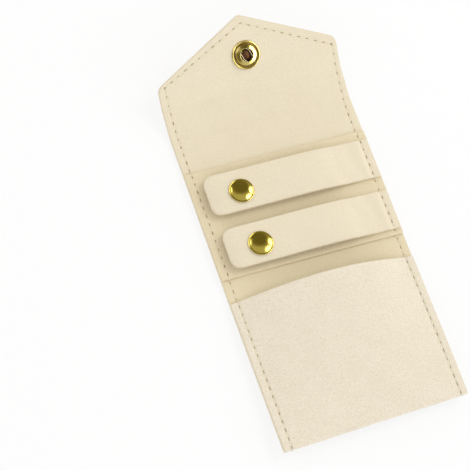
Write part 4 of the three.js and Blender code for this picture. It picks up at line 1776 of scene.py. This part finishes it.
@dataclass(frozen=True)
class Studio:
    """Plain pale floor, soft light from the right, and the camera."""

    camera_place: Place = (-0.230397, -0.273893, 0.7225)
    camera_turn: Place = (23.264, -8.5774, -19.0594)
    lens: float = 166.21
    sensor: float = 36.0
    target: Place = (0.0, -0.01, 0.0)
    lamps: Sequence[Lamp] = (
        Lamp("key_light", (0.9, 0.3, 0.85), 4.5),
        Lamp("fill_light", (-0.3, -0.6, 0.9), 1.0),
    )
    right_light: Colour = (1.47, 1.54, 1.70, 1.0)
    left_light: Colour = (1.26, 1.32, 1.455, 1.0)
    side_span: Span = (-0.8, 0.8)
    top_light: Colour = (0.325, 0.268, 0.137, 1.0)
    top_span: Span = (0.45, 0.85)
    horizon: float = 0.8
    overhead: float = 0.5
    overhead_span: Span = (0.0, 0.35)
    dim_mirrored: Colour = (1.0, 0.86, 0.42, 1.0)
    dim_span: Span = (0.15, 0.6)
    windows: Sequence[Window] = (
        Window((0.84, 0.16, 0.52), 0.965, 0.012, 4.6),
        Window((0.6, -0.28, 0.75), 0.965, 0.012, 4.6),
        Window((0.87, -0.42, 0.26), 0.91, 0.03, 4.4),
        Window((0.99, -0.12, 0.04), 0.94, 0.03, 4.0),
        Window((0.62, -0.78, 0.06), 0.95, 0.03, 3.5),
        Window((-0.68, 0.55, 0.48), 0.885, 0.02, 2.4),
        Window((0.2, 0.62, 0.757), 0.74, 0.14, -0.35),
        Window((-0.8, -0.4, 0.45), 0.76, 0.1, -0.3),
    )
    floor_level: float = -0.0001
    floor_half: float = 3.0
    floor_paint: Colour = (0.95, 0.95, 0.95, 1.0)
    floor_glow: float = 0.8

    def build(self) -> None:
        """Makes the camera, lights, floor and world."""
        scene = bpy.context.scene
        scene.view_settings.view_transform = "Standard"
        self.camera(scene)
        for lamp in self.lamps:
            lamp.hang(self.target)
        self.floor()
        self.world(scene)

    def camera(self, scene: bpy.types.Scene) -> None:
        """Sets the camera at the photograph's viewing angle.

        Args:
            scene: The scene that it films.
        """
        data = bpy.data.cameras.new("camera")
        data.lens, data.sensor_width = self.lens, self.sensor
        scene.camera = linked("camera", data)
        scene.camera.location = self.camera_place
        scene.camera.rotation_euler = [math.radians(a) for a in self.camera_turn]

    def floor(self) -> None:
        """Lays a white floor that keeps the book's shadow, and glows to the camera, mirrors and glass."""
        material = bpy.data.materials.new("floor_white")
        material.use_nodes = True
        material.node_tree.nodes.clear()
        nodes = Nodes(material.node_tree)
        path = nodes.add("ShaderNodeLightPath").outputs
        mirrored = nodes.math("MAXIMUM", path["Is Glossy Ray"], path["Is Transmission Ray"])
        seen = nodes.math("MAXIMUM", path["Is Camera Ray"], mirrored)
        share = nodes.math("MULTIPLY", seen, self.floor_glow)
        paint = nodes.add("ShaderNodeBsdfDiffuse", {"Color": self.floor_paint}).outputs[0]
        white = nodes.add("ShaderNodeEmission", {"Color": WHITE, "Strength": 1.0}).outputs[0]
        mixed = nodes.add("ShaderNodeMixShader", {0: share, 1: paint, 2: white}).outputs[0]
        nodes.add("ShaderNodeOutputMaterial", {"Surface": mixed})
        h, z = self.floor_half, self.floor_level
        corners = [(-h, -h, z), (h, -h, z), (h, h, z), (-h, h, z)]
        linked("floor", new_mesh("floor", corners, [(0, 1, 2, 3)], material))

    def mirrored(self, nodes: Nodes, direction: Socket, height: Socket) -> Socket:
        """Makes what the metal mirrors of the world.

        Args:
            nodes: The world's nodes.
            direction: The way that a ray leaves.
            height: How far up it points.

        Returns:
            The brightness there: pale at the horizon, dim overhead, with the windows added.
        """
        glow = nodes.ramp(height, *self.overhead_span, self.horizon, self.overhead)
        for window in self.windows:
            ways = {0: direction, 1: window.towards}
            near = nodes.add("ShaderNodeVectorMath", ways, operation="DOT_PRODUCT").outputs["Value"]
            share = nodes.ramp(near, window.start, window.start + window.soft, 0.0, window.strength)
            glow = nodes.math("ADD", glow, share)
        return glow

    def world(self, scene: bpy.types.Scene) -> None:
        """Sets a world that is a tent of light to cloth, windows to metal, and white to camera and glass.

        Args:
            scene: The scene that it lights.
        """
        world = bpy.data.worlds.new("studio")
        world.use_nodes = True
        world.node_tree.nodes.clear()
        nodes = Nodes(world.node_tree)
        path = nodes.add("ShaderNodeLightPath").outputs
        direction = nodes.add("ShaderNodeTexCoord").outputs["Generated"]
        x, _, height = nodes.add("ShaderNodeSeparateXYZ", {0: direction}).outputs
        sides = nodes.mix(nodes.ramp(x, *self.side_span), self.left_light, self.right_light)
        tent = nodes.mix(nodes.ramp(height, *self.top_span), sides, self.top_light)
        glow = self.mirrored(nodes, direction, height)
        warmth = nodes.mix(nodes.ramp(glow, *self.dim_span), self.dim_mirrored, WHITE)
        light, in_metal, shown = (
            nodes.add("ShaderNodeBackground", {"Color": colour, "Strength": strength}).outputs[0]
            for colour, strength in ((tent, 1.0), (warmth, glow), (WHITE, 1.0))
        )
        plain = nodes.math("MAXIMUM", path["Is Camera Ray"], path["Is Transmission Ray"])
        mixed = nodes.add("ShaderNodeMixShader", {0: path["Is Glossy Ray"], 1: light, 2: in_metal}).outputs[0]
        mixed = nodes.add("ShaderNodeMixShader", {0: plain, 1: mixed, 2: shown}).outputs[0]
        nodes.add("ShaderNodeOutputWorld", {"Surface": mixed})
        scene.world = world


def panels(book: Book) -> list[Panel]:
    """Splits the panels into the stretches that each bend at one crease.

    Args:
        book: The shared sizes.

    Returns:
        The flap, the back's two halves and the front.
    """
    upper, flap, lower, front = book.creases
    flap_join, front_join = (upper.at + flap.at) / 2, (lower.at + front.at) / 2
    half, low = book.half, book.bottom(Half.LEFT)
    left_hem, right_hem = (book.bottom(side) + book.hem_inset for side in Half)
    point = [
        (-half, flap_join, 0.0), (half, flap_join, 0.0),
        (half, book.shoulder(Half.RIGHT), book.shoulder_ease),
        (0.0, book.tip, book.tip_ease),
        (-half, book.shoulder(Half.LEFT), book.shoulder_ease),
    ]
    bottom = [
        (-half, left_hem, 0.0), (half, right_hem, 0.0),
        (half, front_join, 0.0), (-half, front_join, 0.0),
    ]
    on_flap, on_front = (0.0, book.on_flap), (0.0, book.on_front)
    return [
        Panel(
            "flap", book, flap_join, book.tip, upper, ("flap_fold", "flap"), ("flap", "flap_fold"),
            (flap_join,), point, pitch=3.5, hole=(0.72, 0.165), puckers={
                Layer.OUTER: [Pucker(*on_flap, Snap.cap_radius)],
                Layer.LINING: [Pucker(*on_flap, Snap.socket_radius)],
            },
        ),
        Panel(
            "back_upper", book, 0.0, flap_join, flap, ("back", "flap_fold"), ("back", "flap_fold"),
            (0.0, flap_join),
        ),
        Panel(
            "back_lower", book, front_join, 0.0, front, ("back", "front_fold"), ("back", "front_fold"),
            (front_join, 0.0), deep=True,
        ),
        Panel(
            "front", book, low, front_join, lower, ("front_fold", "front"), ("front", "front_fold"),
            (front_join,), bottom, pitch=3.3, hole=(0.95, 0.16), deep=True,
            puckers={Layer.OUTER: [Pucker(*on_front, Snap.stud_radius)]},
        ),
    ]


def main() -> None:
    """Builds the book's looks round the frame, piece by piece."""
    logging.basicConfig(level=logging.INFO, format="%(name)s %(message)s")
    Studio().build()
    finishes = Finishes()
    book = Book()
    stretches = panels(book)
    holder, pocket = Holder(book), Pocket(book)
    straps = [
        Strap("earring", y=2.6, width=16.0, book=book),
        Strap("ring", y=-19.05, width=15.8, book=book),
    ]
    for part in (*stretches, holder, *straps, pocket):
        part.build(finishes)
    Stitching(book, holder, pocket, straps).build(stretches, finishes)
    for snap in snaps(book, straps, holder):
        snap.build(finishes)
    for node in ("closure_rivet", "earring_rivet", "ring_rivet"):
        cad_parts[node].data.materials[0] = finishes.brass


if __name__ == "__main__":
    main()
